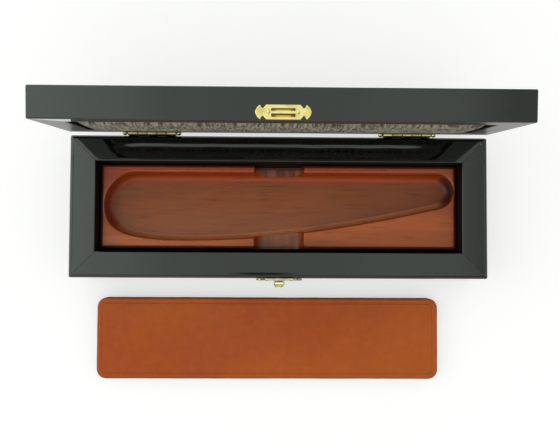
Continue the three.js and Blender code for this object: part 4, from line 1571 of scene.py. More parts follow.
def finish_tree(net: Net, shape: Wire) -> Net:
    """Gives a shape the tree's Finish and makes it the tree's result.

    Args:
        net: The tree's net.
        shape: The shape.

    Returns:
        The same net.
    """
    coated = net.get("GeometryNodeSetMaterial", {"Geometry": shape, "Material": net.given["Finish"]})
    net.feed(net.end, {0: coated})
    return net


def lay_on_points(net: Net, points: Wire, shape: Wire, turn: object) -> Net:
    """Lays a shape on each point as real faces, and makes them the tree's result."""
    laid = net.get("GeometryNodeInstanceOnPoints", {"Points": points, "Instance": shape, "Rotation": turn})
    return finish_tree(net, net.get("GeometryNodeRealizeInstances", {0: laid}))


def lining_tree() -> Net:
    """A closed pad with a rounded edge, a crown and soft unevenness, from named sizes.

    Returns:
        The tree's net.
    """
    net = new_tree("Geometry", "padded_lining",
                   {"Geometry": "Geometry", "Float": "Length, Width, Depth, Crown, Edge, Softness, Seed",
                    "Material": "Finish"}, {"Geometry": "Geometry"})
    i = net.given
    sheet = net.get("GeometryNodeMeshGrid", {"Size X": i["Length"], "Size Y": i["Width"],
                                             "Vertices X": 260, "Vertices Y": 72})
    raised = net.get("GeometryNodeExtrudeMesh", {"Mesh": sheet, "Offset": net.along(2, i["Depth"]),
                                                 "Offset Scale": 1.0, "Individual": False}, "Mesh")
    joined = net.add("GeometryNodeJoinGeometry")
    for part in (raised, net.get("GeometryNodeFlipFaces", {"Mesh": sheet})):
        net.feed(joined, {0: part})
    closed = net.get("GeometryNodeMergeByDistance", {"Geometry": Wire(net, joined.outputs[0]),
                                                     "Distance": 1e-4})
    place = net.get("GeometryNodeInputPosition")
    x, y, z = net.parts(place)
    from_end, from_side = i["Length"] * 0.5 - abs(x), i["Width"] * 0.5 - abs(y)
    left_x, left_y = [1.0 - (d / i["Edge"] & 1.0) for d in (from_end, from_side)]
    round_off = net.math("SQRT", (1.0 - (left_x * left_x + left_y * left_y)) | 0.0)
    fall = (1.0 - round_off) * i["Edge"]
    rise_x, rise_y = [net.math("SINE", (d / run & 1.0) * (math.pi / 2))
                      for d, run in ((from_end, 20.0), (from_side, 18.0))]
    drift = net.vector("ADD", place, net.along(2, i["Seed"]))
    uneven = (net.noise(drift, 0.09, 3.0, 0.6) - 0.62) * i["Softness"] * rise_y
    move = net.along(2, rise_x * rise_y * i["Crown"] - fall + uneven)
    return finish_tree(net, net.get("GeometryNodeSetPosition", {
        "Geometry": closed, "Selection": z > i["Depth"] * 0.5, "Offset": move}))


# Tray
@dataclass
class Tray:
    """The fitted tray, with a recess for a closed razor and a finger notch across it."""

    coats: dict[str, Coat]
    floor: float = 4.3
    length: float = 164.0
    width: float = 38.6
    height: float = 16.2
    play_in_front: float = 1.3
    edge_radius: float = 1.4
    corner: float = 0.8
    end_shift: float = 0.2
    back_wall: float = 3.5
    recess_length: float = 161.4
    recess_width: float = 31.15
    recess_depth: float = 12.0
    heel_radius: float = 15.0
    heel_handle: float = 14.0
    belly_from_heel: float = 38.5
    belly_heel_handle: float = 24.0
    belly_handle: float = 38.0
    taper_handle: float = 30.0
    taper_slope: float = 0.225
    taper_length: float = 8.0
    nose_radius: float = 8.0
    floor_radius: float = 2.7
    lip_radius: float = 0.8
    notch_width: float = 22.9
    notch_depth: float = 11.0
    notch_corner: float = 4.3
    notch_lip: float = 0.5
    over: float = 1.0

    def recess_outline(self) -> list[Point]:
        """The outline of a closed razor, counter-clockwise and without doubles.

        Returns:
            The outline's points.
        """
        left = -self.recess_length / 2 + self.end_shift
        right = self.recess_length / 2 + self.end_shift
        back = self.width / 2 - self.back_wall
        front = back - self.recess_width
        slope = math.atan(self.taper_slope)
        nose = Vector((right - self.nose_radius, back - self.nose_radius))
        start = nose + Vector((math.sin(slope), -math.cos(slope))) * self.nose_radius
        end = start - Vector((1, self.taper_slope)) * self.taper_length
        belly = left + self.belly_from_heel
        heel = (left + self.heel_radius, back - self.heel_radius)
        points = arc(heel, self.heel_radius, 90, 180, 28)
        points += bezier(points[-1], (left, heel[1] - self.heel_handle),
                         (belly - self.belly_heel_handle, front), (belly, front), 36)
        points += bezier((belly, front), (belly + self.belly_handle, front),
                         tuple(end - Vector((1, self.taper_slope)) * self.taper_handle), tuple(end), 36)
        points += arc(tuple(nose), self.nose_radius, math.degrees(slope) - 90, 90, 36)
        return [p for i, p in enumerate(points) if (Vector(p) - Vector(points[i - 1])).length > 1e-4]

    def recess(self) -> Obj:
        """The body that cuts the recess: a filleted floor, straight walls and a flared lip.

        Returns:
            The working object.
        """
        points = self.recess_outline()
        floor = self.height - self.recess_depth
        levels = [(short, floor + back) for back, short in quarter(self.floor_radius, 8)]
        levels += [(-back, self.height - short) for back, short in quarter(self.lip_radius, 5)]
        levels.append((levels[-1][0], self.height + self.over))
        return Draft().stack(lambda step: inset(points, step), levels).work("recess")

    def notch(self) -> Obj:
        """The body that cuts the finger notch, with round floor corners and flared lips.

        Returns:
            The working object.
        """
        half, lip = self.notch_width / 2, self.height - self.notch_lip
        low = self.height - self.notch_depth
        side = arc((half - self.notch_corner, low + self.notch_corner), self.notch_corner, 270, 360, 12)
        side += arc((half + self.notch_lip, lip), self.notch_lip, 180, 90, 5)
        side += [(half + self.notch_lip, self.height + self.over)]
        section = side + [(-x, z) for x, z in reversed(side)]
        reach = self.width / 2 + self.over
        return Draft().push(section, -reach, reach, 1).work("notch")

    def mark_walls(self, tray: Obj) -> None:
        """Notes at each point how far it lies inside the recess, and the nearest wall's way out.

        Args:
            tray: The tray, in millimetres.
        """
        outline = self.recess_outline()
        spots: list[Spot] = []
        for i, point in enumerate(outline):
            start, end = Vector(outline[i - 1]), Vector(point)
            along = end - start
            out = Vector((along.y, -along.x)).normalized()
            count = max(int(along.length / 0.5), 1)
            spots += [(start + along * (k + 0.5) / count, out) for k in range(count)]
        tree = kdtree.KDTree(len(spots))
        for i, (spot, _) in enumerate(spots):
            tree.insert((*spot, 0.0), i)
        tree.balance()
        zone = tray.data.attributes.new("recess_wall", "FLOAT_VECTOR", "POINT")
        for i, vertex in enumerate(tray.data.vertices):
            spot, out = spots[tree.find((vertex.co.x, vertex.co.y, 0.0))[1]]
            zone.data[i].vector = ((spot - vertex.co.xy).dot(out), out.x, out.y)

    def build(self) -> None:
        """Builds the tray."""
        levels = [(0.3, 0.0), (0.0, 0.3)]
        levels += [(back, self.height - short) for back, short in quarter(self.edge_radius, 8)]
        tray = Draft().stack(lambda step: rounded_outline(
            self.length - 2 * step, self.width - 2 * step, max(self.corner - step, 0.1), 5), levels)
        tray = combine(tray.work("tray_mahogany"), self.recess(), "DIFFERENCE")
        combine(tray, self.notch(), "DIFFERENCE")
        tidy_mesh(tray.data)
        self.mark_walls(tray)
        seat(tray, Body.TRAY, self.coats["mahogany"], "tray_insert",
             place=shift(0, self.play_in_front / 2, self.floor))


# Brass fittings
def plate_draft(outline: Sequence[Point], thickness: float, ease: float) -> Draft:
    """A flat plate with its back on z = 0 and a rounded front edge.

    Args:
        outline: The plate's counter-clockwise outline.
        thickness: The plate's thickness.
        ease: The radius of the front edge.

    Returns:
        The draft.
    """
    levels = [(0.0, 0.0)] + [(back, thickness - short) for back, short in quarter(ease, 3)]
    return Draft().stack(lambda step: inset(outline, step) if step else outline, levels)


def mirrored(profile: Sequence[Point]) -> list[Point]:
    """A profile followed by its own mirror image in height."""
    return [*profile, *[(r, -z) for r, z in reversed(profile)]]


def knuckle_tree() -> Net:
    """A row of hinge knuckles along X, from a count and a pitch.

    Returns:
        The tree's net.
    """
    net = new_tree("Geometry", "knuckle_row",
                   {"Geometry": "Geometry", "Int": "Count, Sides", "Float": "First, Pitch, Length, Radius",
                    "Material": "Finish"}, {"Geometry": "Geometry"})
    i = net.given
    row = net.get("GeometryNodeMeshLine", {"Count": i["Count"], "Start Location": net.along(0, i["First"]),
                                           "Offset": net.along(0, i["Pitch"])}, mode="OFFSET")
    barrel = net.get("GeometryNodeMeshCylinder", {"Vertices": i["Sides"], "Radius": i["Radius"],
                                                  "Depth": i["Length"]}, "Mesh")
    return lay_on_points(net, row, barrel, (0.0, math.pi / 2, 0.0))


def fastener_tree() -> Net:
    """A fastener at each point, aimed along the point's own direction and turned by chance.

    Returns:
        The tree's net.
    """
    net = new_tree("Geometry", "fasteners_on_points",
                   {"Geometry": "Geometry", "Object": "Fastener", "Int": "Seed", "Material": "Finish"},
                   {"Geometry": "Geometry"})
    i = net.given
    pattern = net.get("GeometryNodeObjectInfo", {"Object": i["Fastener"]}, "Geometry",
                      transform_space="ORIGINAL")
    aim = net.get("GeometryNodeInputNamedAttribute", {"Name": "aim"}, "Attribute", data_type="FLOAT_VECTOR")
    facing = net.get("FunctionNodeAlignRotationToVector", {"Vector": aim}, axis="Z")
    chance = net.get("FunctionNodeRandomValue", {2: 0.0, 3: math.pi, 8: i["Seed"]}, 1, data_type="FLOAT")
    spin = net.get("FunctionNodeAxisAngleToRotation", {"Axis": (0.0, 0.0, 1.0), "Angle": chance})
    turn = net.get("FunctionNodeRotateRotation", {0: facing, 1: spin}, rotation_space="LOCAL")
    return lay_on_points(net, i["Geometry"], pattern, turn)


@dataclass
class Fasteners:
    """The countersunk screws of the hinges and the round-headed nails of the plates."""

    coats: dict[str, Coat]
    joints: Joints
    screw_head: float = 1.3
    screw_shank: float = 0.6
    screw_length: float = 6.5
    slot_size: Point = (4.0, 0.3)
    slot_depth: float = 0.35
    leaf: float = 0.8
    nail_head: float = 0.55
    nail_height: float = 0.35
    nail_shank: float = 0.35
    nail_length: float = 5.5

    def screw(self) -> Obj:
        """A slotted screw whose head faces +Z with its face on z = 0.

        Returns:
            The working object.
        """
        profile = [(0.0, 0.0), (self.screw_head * 0.93, 0.0), (self.screw_head, -0.07),
                   (self.screw_shank, -self.leaf), (self.screw_shank, -self.screw_length + 1.2),
                   (0.0, -self.screw_length)]
        x, y = self.slot_size[0] / 2, self.slot_size[1] / 2
        slot = Draft().push([(-x, -y), (x, -y), (x, y), (-x, y)], -self.slot_depth, 1.0).work("slot")
        return combine(lathe(profile, 28).work("screw"), slot, "DIFFERENCE")

    def nail(self) -> Obj:
        """A nail whose round head rises from z = 0.

        Returns:
            The working object.
        """
        dome = [(self.nail_head * math.sin(math.radians(a)), self.nail_height * math.cos(math.radians(a)))
                for a in range(0, 91, 15)]
        profile = dome + [(self.nail_shank, 0.0), (self.nail_shank, 1.0 - self.nail_length),
                          (0.0, -self.nail_length)]
        return lathe(profile, 24).work("nail")

    def lay(self, name: str, pattern: Obj, spots: Sequence[Spot], body: Body, nodes: Sequence[str],
            seed: int) -> None:
        """Lays one fastener at each spot.

        Args:
            name: The piece's name.
            pattern: The fastener, which stays.
            spots: Each place in the frame and the way its head faces.
            body: The body that they ride on.
            nodes: The CAD nodes that they stand for.
            seed: The seed of their turns.
        """
        mesh = new_mesh(name, [place for place, _ in spots])
        aims = mesh.attributes.new("aim", "FLOAT_VECTOR", "POINT")
        for k, (_, way) in enumerate(spots):
            aims.data[k].vector = way
        brass = self.coats["brass"]
        row = run_tree(link(name, mesh), fastener_tree(),
                       {"Fastener": pattern, "Seed": seed, "Finish": brass.material})
        seat(row, body, brass, *nodes)

    def build(self, hinge: "Hinges", latch: "Latch") -> None:
        """Lays all screws and nails.

        Args:
            hinge: The hinges, which say where their screws sit.
            latch: The latch, which says where its nails sit.
        """
        screw, nail = self.screw(), self.nail()
        sides = [(side, k) for side in ("left", "right") for k in (1, 2)]
        for body, spots in hinge.screw_spots().items():
            nodes = [f"hinge_{side}_{body.value}_screw_{k}" for side, k in sides]
            self.lay(f"{body.value}_hinge_screws", screw, spots, body, nodes, 3)
        for name, body, spots, seed in (("latch", Body.BASE, latch.plate_nails(), 5),
                                        ("keeper", Body.LID, latch.keeper_nails(), 6)):
            self.lay(f"{name}_nails", nail, spots, body, [f"{name}_nail_1", f"{name}_nail_2"], seed)
        discard(screw)
        discard(nail)


@dataclass
class Hinges:
    """The two stop hinges: leaves with five knuckles, a pin with ball ends and stop tongues."""

    coats: dict[str, Coat]
    joints: Joints
    centre_x: float = 57.3
    axis_offset: float = 1.0
    radius: float = 1.1
    pitch: float = 4.32
    count: int = 5
    gap: float = 0.12
    thickness: float = 0.8
    leaf_height: float = 8.6
    leaf_corner: float = 1.0
    leaf_ease: float = 0.15
    worn_edge: float = 0.07
    pin: float = 0.5
    pin_clearance: float = 0.05
    ball: float = 1.15
    neck: float = 0.65
    neck_length: float = 0.25
    tongue_reach: float = 3.2
    tongue_thickness: float = 0.7
    stop_gap: float = 0.06
    seat_gap: float = 0.05
    screw_spacing: float = 12.4
    screw_from_edge: float = 3.0

    @property
    def length(self) -> float:
        """The length of all knuckles."""
        return self.count * self.pitch

    @property
    def face(self) -> float:
        """Where a leaf's back lies from the axis."""
        return -self.axis_offset + self.seat_gap

    def owned(self, leaf: str) -> list[float]:
        """The centres of a leaf's knuckles along X."""
        first = 1 if leaf == "lid" else 0
        return [-self.length / 2 + (i + 0.5) * self.pitch for i in range(first, self.count, 2)]

    def leaf(self, leaf: str) -> Obj:
        """A leaf that hangs down from the hinge axis at the origin.

        Args:
            leaf: Either base or lid.

        Returns:
            The working object.
        """
        top = self.radius + self.pin_clearance + self.gap
        outline = rounded_outline(self.length - self.gap, self.leaf_height - top, self.leaf_corner, 6)
        stand = shift(0, self.face, -(self.leaf_height + top) / 2) @ turn_x(-90)
        plate = plate_draft(outline, self.thickness, self.leaf_ease).work("plate", stand)
        width, centres = self.pitch - self.gap, self.owned(leaf)
        for x in centres:
            web = Draft().push(rounded_outline(width, self.thickness, 0.02, 1), -top - self.leaf_corner, 0)
            combine(plate, web.work("web", shift(x, self.face + self.thickness / 2)), "UNION")
        holder = Draft().push(rounded_outline(1, 1, 0.1, 1), 0, 1).work("knuckles")
        sizes = {"Count": len(centres), "First": centres[0], "Pitch": 2 * self.pitch, "Length": width,
                 "Radius": self.radius, "Sides": 40, "Finish": self.coats["brass"].material}
        return combine(plate, run_tree(holder, knuckle_tree(), sizes), "UNION")

    def add_tongues(self, leaf: Obj) -> Obj:
        """Joins the stop tongues behind the base's knuckles to its leaf.

        Args:
            leaf: The base's leaf.

        Returns:
            The same object.
        """
        near = self.seat_gap + self.thickness - self.axis_offset + self.stop_gap
        far, half = near + self.tongue_thickness, (self.pitch - self.gap) / 2
        stop: Obj | None = None
        for x in self.owned("base"):
            outline = [(x - half, near), (x + half, near), (x + half, far), (x - half, far)]
            block = Draft().push(outline, 0, self.tongue_reach)
            block = block.work("tongue", turn_x(-self.joints.open_angle))
            stop = block if stop is None else combine(stop, block, "UNION")
        return combine(leaf, stop, "UNION")

    def pin_draft(self) -> Draft:
        """The pin through all knuckles, with a ball at each end.

        Returns:
            The draft.
        """
        end = self.length / 2 + self.neck_length
        angle = math.asin(self.neck / self.ball)
        profile = []
        for i in range(15):
            turn = i / 14 * (math.pi - angle)
            along = -end - self.ball * (math.cos(angle) + math.cos(turn))
            profile.append((self.ball * math.sin(turn), along))
        profile += [(self.neck, -self.length / 2), (self.pin, -self.length / 2)]
        return lathe(mirrored(profile), 28, Matrix.Rotation(math.pi / 2, 4, "Y"))

    def screw_spots(self) -> dict[Body, list[Spot]]:
        """Where each body's screws sit and the way their heads face.

        Returns:
            The spots of each body.
        """
        down = self.leaf_height - self.screw_from_edge
        y = self.face + self.thickness
        lid, out = self.joints.lid, Vector((0, 1, 0))
        spots: dict[Body, list[Spot]] = {Body.BASE: [], Body.LID: []}
        for centre in (-self.centre_x, self.centre_x):
            for x in (centre - self.screw_spacing / 2, centre + self.screw_spacing / 2):
                spots[Body.BASE].append((self.joints.hinge + Vector((x, y, -down)), out))
                spots[Body.LID].append((lid @ Vector((x, y, down)), lid.to_3x3() @ out))
        return spots

    def build(self) -> None:
        """Builds both hinges."""
        brass = self.coats["base_hinge"]
        for side, centre in (("left", -self.centre_x), ("right", self.centre_x)):
            here = Matrix.Translation(self.joints.hinge) @ shift(centre)
            base = self.add_tongues(self.leaf("base"))
            ease_edges(base, self.worn_edge)
            base.name = f"{side}_hinge_base_brass"
            seat(base, Body.BASE, brass, f"hinge_{side}_base_leaf", place=here)
            lid = self.leaf("lid")
            ease_edges(lid, self.worn_edge)
            lid.name = f"{side}_hinge_lid_brass"
            lid.data.transform(shift(centre) @ Matrix.Scale(-1, 4, Vector((0, 0, 1))))
            lid.data.flip_normals()
            seat(lid, Body.LID, self.coats["lid_hinge"], f"hinge_{side}_lid_leaf", place=self.joints.lid)
            pin = self.pin_draft().work(f"{side}_hinge_pin_brass")
            seat(pin, Body.BASE, brass, f"hinge_{side}_pin", place=here)


@dataclass
class Latch:
    """The latch: a fish-tailed plate with two ears, its pin, its hook and the keeper on the lid."""

    coats: dict[str, Coat]
    joints: Joints
    length: float = 20.8
    height: float = 5.5
    thickness: float = 0.9
    body_length: float = 12.6
    notch_centre: float = 7.5
    notch_depth: float = 1.35
    lobe_peak: float = 8.5
    tip_shoulder: float = 0.9
    from_rim: float = 0.3
    seat_gap: float = 0.05
    ease: float = 0.22
    window: Point = (8.9, 3.2)
    window_drop: float = 0.2
    bar: Level = (-0.55, 0.45)
    nail_spacing: float = 11.0
    case_width: float = 63.9
    axis_offset: float = 1.0
    rim_gap: float = 0.3
    hook_width: float = 3.6
    waist: float = 2.5
    hook_thickness: float = 0.7
    barrel: float = 1.1
    reach: float = 2.1
    clearance: float = 0.12
    plate_gap: float = 0.2
    ear: float = 0.4
    pin: float = 0.42
    pin_head: float = 0.7
    pin_head_length: float = 0.18

    @property
    def pivot_out(self) -> float:
        """How far the pivot stands from the case's face."""
        return self.thickness + self.seat_gap + self.plate_gap + self.barrel

    @property
    def pivot_to_bar(self) -> float:
        """From the pivot to the middle of the keeper, with the lid closed."""
        return 2 * self.from_rim + self.height + self.rim_gap

    @property
    def window_top(self) -> float:
        """The window's upper edge, from the plate's middle."""
        return self.window[1] / 2 - self.window_drop

    @property
    def base_place(self) -> Matrix:
        """The latch plate's centre on the base's front."""
        return shift(0, -self.case_width / 2, self.joints.pivot.z)

    @property
    def keeper_place(self) -> Matrix:
        """The keeper's centre on the open lid's front board."""
        y = -self.axis_offset - self.case_width
        return self.joints.lid @ shift(0, y, self.rim_gap / 2 + self.from_rim + self.height / 2)

    def outline(self) -> list[Point]:
        """The fish-tailed outline of both plates.

        Returns:
            The outline's points.
        """
        tip, half, peak = self.length / 2, self.height / 2, self.lobe_peak
        inner = half - self.notch_depth
        corner = [(self.body_length / 2, half), (self.notch_centre, inner)]
        rise = bend(corner[-1], (peak - 0.6, inner), (peak, half), 6)
        fall = bend(rise[-1], (tip - 0.35, half - self.tip_shoulder), (tip, 0.0), 10)
        down = corner + rise + fall
        up = list(reversed(down[:-1]))
        right = [(x, -y) for x, y in down] + up
        return right + [(-x, y) for x, y in down] + [(-x, -y) for x, y in up]

    def standing(self, draft: Draft, name: str) -> Obj:
        """Stands a flat draft up, its back on y = 0 and its front towards -Y."""
        return draft.work(name, shift(y=-self.seat_gap) @ turn_x(90))

    def nails(self, place: Matrix) -> list[Spot]:
        """Where a plate's nails sit and the way their heads face.

        Args:
            place: The plate's place.

        Returns:
            The spots.
        """
        out = -self.seat_gap - self.thickness
        return [(place @ Vector((x, out, 0)), place.to_3x3() @ Vector((0, -1, 0)))
                for x in (-self.nail_spacing / 2, self.nail_spacing / 2)]

    def plate_nails(self) -> list[Spot]:
        """The latch plate's nails."""
        return self.nails(self.base_place)

    def keeper_nails(self) -> list[Spot]:
        """The keeper's nails."""
        return self.nails(self.keeper_place)

    def build_keeper(self) -> None:
        """Builds the pierced keeper with the bar across its window."""
        plate = self.standing(plate_draft(self.outline(), self.thickness, self.ease), "keeper_brass")
        for low, high in ((self.bar[1], self.window_top), (self.window_top - self.window[1], self.bar[0])):
            hole = rounded_outline(self.window[0], high - low, 0.25, 4)
            cutter = Draft().push([(x, y + (low + high) / 2) for x, y in hole], -1.0, 2.0)
            combine(plate, self.standing(cutter, "window"), "DIFFERENCE")
        ease_edges(plate, 0.1, 50)
        seat(plate, Body.LID, self.coats["brass"], "keeper_plate", place=self.keeper_place)

    def build_plate(self) -> None:
        """Builds the latch plate with its ears, and its pin."""
        plate = self.standing(plate_draft(self.outline(), self.thickness, self.ease), "latch_plate_brass")
        inner = self.hook_width / 2 + self.clearance
        foot = -self.seat_gap - self.thickness / 2
        side = arc((-self.pivot_out, 0), self.barrel, 90, 270, 20)
        side += [(foot, -self.barrel), (foot, self.barrel)]
        for x in (-inner - self.ear, inner):
            combine(plate, Draft().push(side, x, x + self.ear, 0).work("ear"), "UNION")
        ease_edges(plate, 0.06, 50)
        seat(plate, Body.BASE, self.coats["plate"], "latch_plate", place=self.base_place)
        outer, head = inner + self.ear + 0.05, self.pin_head_length
        profile = [(0.0, -outer - head), (self.pin_head - head, -outer - head),
                   (self.pin_head, -outer - head / 2), (self.pin_head, -outer), (self.pin, -outer)]
        pin = lathe(mirrored(profile), 24, Matrix.Rotation(math.pi / 2, 4, "Y")).work("latch_pin_brass")
        seat(pin, Body.BASE, self.coats["latch"], "latch_pin", place=Matrix.Translation(self.joints.pivot))

    def build_hook(self) -> None:
        """Builds the hook, latched as drawn and hanging as seated."""
        half, waist, thick = self.hook_width / 2, self.waist / 2, self.hook_thickness
        bar_top = self.pivot_to_bar + self.bar[1]
        window_top = self.pivot_to_bar + self.window_top
        plate_front = self.pivot_out - self.thickness - self.seat_gap
        nose_inner = math.hypot(bar_top + self.clearance, self.reach)
        nose_outer = math.hypot(window_top - self.clearance, plate_front)
        tip_inner, tip_outer = [math.degrees(math.acos(self.reach / r)) for r in (nose_inner, nose_outer)]
        shoulder = 90 + math.degrees(math.asin(thick / nose_outer))
        side = [(-thick, 0.0), (0.0, 0.0)] + arc((0, 0), nose_inner, 90, tip_inner, 10)
        side += arc((0, 0), nose_outer, tip_outer, shoulder, 12)
        arm = Draft().push(side, -half, half, 0).work("latch_hook_brass")
        top, neck = self.pivot_to_bar + self.window[1], self.pivot_to_bar - self.window[1] / 2
        flank = [(half, self.barrel)] + bezier((half, self.barrel), (waist, neck / 2),
                                               (waist, neck - self.barrel), (half, neck), 20)
        front = [(-half, -self.barrel), (half, -self.barrel)] + flank + [(half, top), (-half, top)]
        front += [(-x, z) for x, z in reversed(flank)]
        deep = self.reach + thick + self.barrel
        combine(arm, Draft().push(front, -deep, deep, 1).work("front"), "INTERSECT")
        barrel = arc((0, 0), self.barrel, 0, 360, 36)[:-1]
        combine(arm, Draft().push(barrel, -half, half, 0).work("barrel"), "UNION")
        ease_edges(arm, 0.09, 45)
        hang = Matrix.Translation(self.joints.pivot) @ turn_x(180)
        seat(arm, Body.HOOK, self.coats["latch"], "latch_hook", place=hang)

    def build(self) -> None:
        """Builds the keeper, the plate with its pin and the hook."""
        self.build_keeper()
        self.build_plate()
        self.build_hook()


# Strop
@dataclass
class Strop:
    """The strop: leather on both faces of a thin board."""

    coats: dict[str, Coat]
    centre: Point = (-4.8, -61.0)
    length: float = 161.7
    width: float = 38.2
    thickness: float = 7.0
    leather: float = 1.7
    glue: float = 0.1
    corner: float = 4.5
    edge: float = 0.9
    crease: float = 2.55
    crease_half: float = 0.35
    crease_depth: float = 0.16

    def height_at(self, depth: float) -> float:
        """How high the leather's face lies at a distance inside its outline.

        Args:
            depth: How far inside the outline it is, in millimetres.

        Returns:
            The height.
        """
        if depth < self.edge:
            left = 1 - depth / self.edge
            return self.leather - self.edge * (1 - math.sqrt(max(1 - left * left, 0)))
        off = min(abs(depth - self.crease) / self.crease_half, 1)
        return self.leather - self.crease_depth * 0.5 * (1 + math.cos(math.pi * off))

    def sheet(self, name: str, seed: float) -> Obj:
        """One leather, its back on z = 0 and its face up.

        Args:
            name: The working object's name.
            seed: Shifts the leather's unevenness.

        Returns:
            The working object.
        """
        depths = [back for back, _ in quarter(self.edge, 6)]
        depths += [1.3, 1.8, 2.1] + [self.crease + self.crease_half * k / 4 for k in range(-4, 5)]
        depths += [3.2, 4.0, 5.2] + [6.5 + 1.6 * k for k in range(8)]
        rings = []
        for depth, z in [(0.25, 0.0), (0.0, 0.25)] + [(d, self.height_at(d)) for d in depths]:
            outline = rounded_outline(self.length - 2 * depth, self.width - 2 * depth,
                                      max(self.corner - depth, 0.4), 8, (90, 22))
            rings.append([self.uneven(Vector((x, y, z)), depth, seed) for x, y in outline])
        return Draft().loft(rings).work(name)

    def uneven(self, point: Vector, depth: float, seed: float) -> Vector:
        """Moves a point a little, as cut and glued leather lies.

        Args:
            point: The point.
            depth: How far inside the outline it lies.
            seed: Shifts the unevenness.

        Returns:
            The moved point.
        """
        wave = noise.noise(Vector((point.x * 0.06, point.y * 0.06, seed)))
        fine = noise.noise(Vector((point.x * 0.35, point.y * 0.35, seed + 5)))
        cut = abs(max(1 - depth / 3, 0) * (0.14 * wave + 0.04 * fine))
        inward = [math.copysign(cut, value) if abs(value) > size / 2 - 3 else 0.0
                  for value, size in ((point.x, self.length), (point.y, self.width))]
        sunk = 0.07 * (0.5 + 0.5 * wave) * min(max(depth - 1, 0), 1)
        return point - Vector((*inward, sunk))

    def build(self) -> None:
        """Builds both leathers and the board between them."""
        here = shift(*self.centre)
        for side, seed, place in (("face", 11.3, here @ shift(z=self.thickness - self.leather)),
                                  ("back", 2.9, here @ shift(z=self.leather) @ turn_x(180))):
            seat(self.sheet(f"strop_{side}_leather_skin", seed), Body.STROP, self.coats["leather"],
                 f"strop_{side}_leather", place=place, sharp_angle=60, weighted=False)
        core = self.thickness - 2 * self.leather - 2 * self.glue
        levels = [(0.35, 0.0), (0.2, 0.15), (0.2, core - 0.15), (0.35, core)]
        board = Draft().stack(lambda step: rounded_outline(
            self.length - 2 * step, self.width - 2 * step, self.corner, 8, (30, 8)), levels)
        seat(board.work("strop_core_wood"), Body.STROP, self.coats["core"], "strop_board",
             place=here @ shift(z=self.leather + self.glue))


# Stage
@dataclass(frozen=True)
class SoftBox:
    """A soft area lamp that is aimed at the origin."""

    name: str
    size: Point
    location: Triple
    brightness: float

    def build(self) -> None:
        """Hangs the lamp and aims it."""
        lamp = bpy.data.lights.new(self.name, "AREA")
        lamp.shape = "RECTANGLE"
        lamp.size, lamp.size_y = self.size
        lamp.energy = self.brightness * math.pi * self.size[0] * self.size[1]
        obj = link(self.name, lamp)
        obj.location = self.location
        obj.rotation_euler = (-Vector(self.location)).to_track_quat("-Z", "Y").to_euler()
        obj.visible_glossy = False


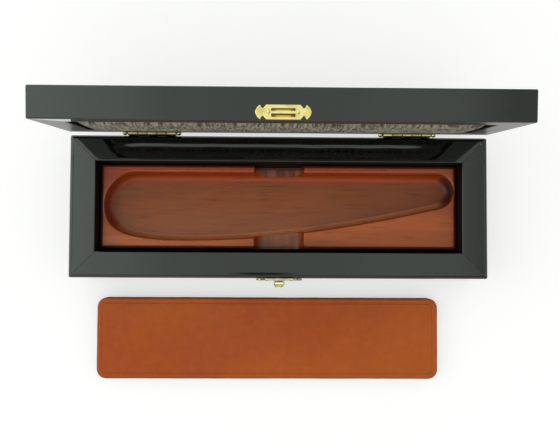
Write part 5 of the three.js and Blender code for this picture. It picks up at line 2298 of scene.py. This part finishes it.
@dataclass(frozen=True)
class Stage:
    """The pale floor, the soft light and the camera of the photograph."""

    camera_place: Triple = (-6.68, -22.365, 375.048)
    camera_turn: Triple = (2.551, -1.164, 0.273)
    lens: float = 49.567
    floor_size: float = 4.0
    floor_drop: float = 0.0002
    floor_colour: Colour = (0.6, 0.613, 0.595)
    floor_glow: float = 0.515
    ambient: float = 0.66
    sheen: Colour = (0.96, 1.075, 0.985)
    mirrored: tuple[Level, ...] = ((-0.3, 2.25), (-0.2, 1.9), (-0.11, 1.4), (0.0, 1.33),
                                   (0.1, 1.35), (0.16, 1.48), (0.25, 1.4), (0.33, 0.85))
    darker_front: tuple[float, float, float, float] = (-1.0, -0.3, 0.35, 1.0)
    boxes: tuple[SoftBox, ...] = (
        SoftBox("lamp_above", (1.3, 1.3), (0.1, -0.35, 1.25), 0.39),
        SoftBox("lamp_left", (0.7, 1.2), (-0.85, 0.0, 1.0), 1.0),
    )

    def build_camera(self) -> None:
        """Places the camera at the photograph's point of view."""
        data = bpy.data.cameras.new("view")
        data.sensor_width = 36.0
        data.sensor_fit = "HORIZONTAL"
        data.lens = self.lens
        data.clip_start, data.clip_end = 0.01, 20.0
        camera = link("view", data)
        camera.location = Vector(self.camera_place) * MM
        camera.rotation_euler = [math.radians(a) for a in self.camera_turn]
        bpy.context.scene.camera = camera

    def build_floor(self) -> None:
        """Lays the floor, white to the camera and in reflections, with the object's shadow."""
        half = self.floor_size / 2
        corners = [(-half, -half), (half, -half), (half, half), (-half, half)]
        mesh = new_mesh("floor", [(x, y, -self.floor_drop) for x, y in corners], [(0, 1, 2, 3)])
        material = bpy.data.materials.new("pale_floor")
        material.use_nodes = True
        net = Net(material.node_tree)
        matt = net.get("ShaderNodeBsdfDiffuse", {"Color": self.floor_colour})
        path = net.outs(net.add("ShaderNodeLightPath"))
        seen = path["Is Camera Ray"] | path["Is Glossy Ray"]
        glow = net.get("ShaderNodeEmission", {"Strength": seen * self.floor_glow})
        net.add("ShaderNodeOutputMaterial", {"Surface": net.get("ShaderNodeAddShader", {0: matt, 1: glow})})
        mesh.materials.append(material)
        link("floor", mesh)

    def build_sky(self) -> None:
        """Surrounds the scene with even light: white to the camera, brighter from the left in mirrors."""
        world = bpy.data.worlds.new("studio")
        world.use_nodes = True
        net = Net(world.node_tree)
        x, y, z = net.parts(net.get("ShaderNodeTexCoord", pick="Generated"))
        height = abs(z) | 0.2
        slope, glossy = x / height, self.mirrored[0][1]
        for (low, before), (high, after) in zip(self.mirrored, self.mirrored[1:]):
            glossy = slope.ramp(low, high, 0.0, after - before) + glossy
        glossy = glossy * (y / height).ramp(*self.darker_front)
        path = net.outs(net.add("ShaderNodeLightPath"))
        shiny = path["Is Glossy Ray"] | path["Is Transmission Ray"]
        strength = net.blend(path["Is Camera Ray"], net.blend(shiny, self.ambient, glossy), 1.0)
        sky = net.get("ShaderNodeBackground", {"Color": net.mix(shiny, (1.0, 1.0, 1.0), self.sheen),
                                               "Strength": strength})
        net.add("ShaderNodeOutputWorld", {"Surface": sky})
        bpy.context.scene.world = world

    def build(self) -> None:
        """Builds the stage."""
        bpy.context.scene.view_settings.view_transform = "Standard"
        self.build_camera()
        self.build_floor()
        self.build_sky()
        for box in self.boxes:
            box.build()


def main() -> None:
    """Builds the stage and every part of the case."""
    logging.basicConfig(level=logging.INFO, format="%(name)s: %(message)s")
    Stage().build()
    coats = build_coats()
    joints = Joints.from_frame()
    hinges = Hinges(coats, joints)
    latch = Latch(coats, joints)
    Base(coats).build()
    Lid(coats, joints).build()
    Tray(coats).build()
    hinges.build()
    latch.build()
    Fasteners(coats, joints).build(hinges, latch)
    Strop(coats).build()


if __name__ == "__main__":
    main()
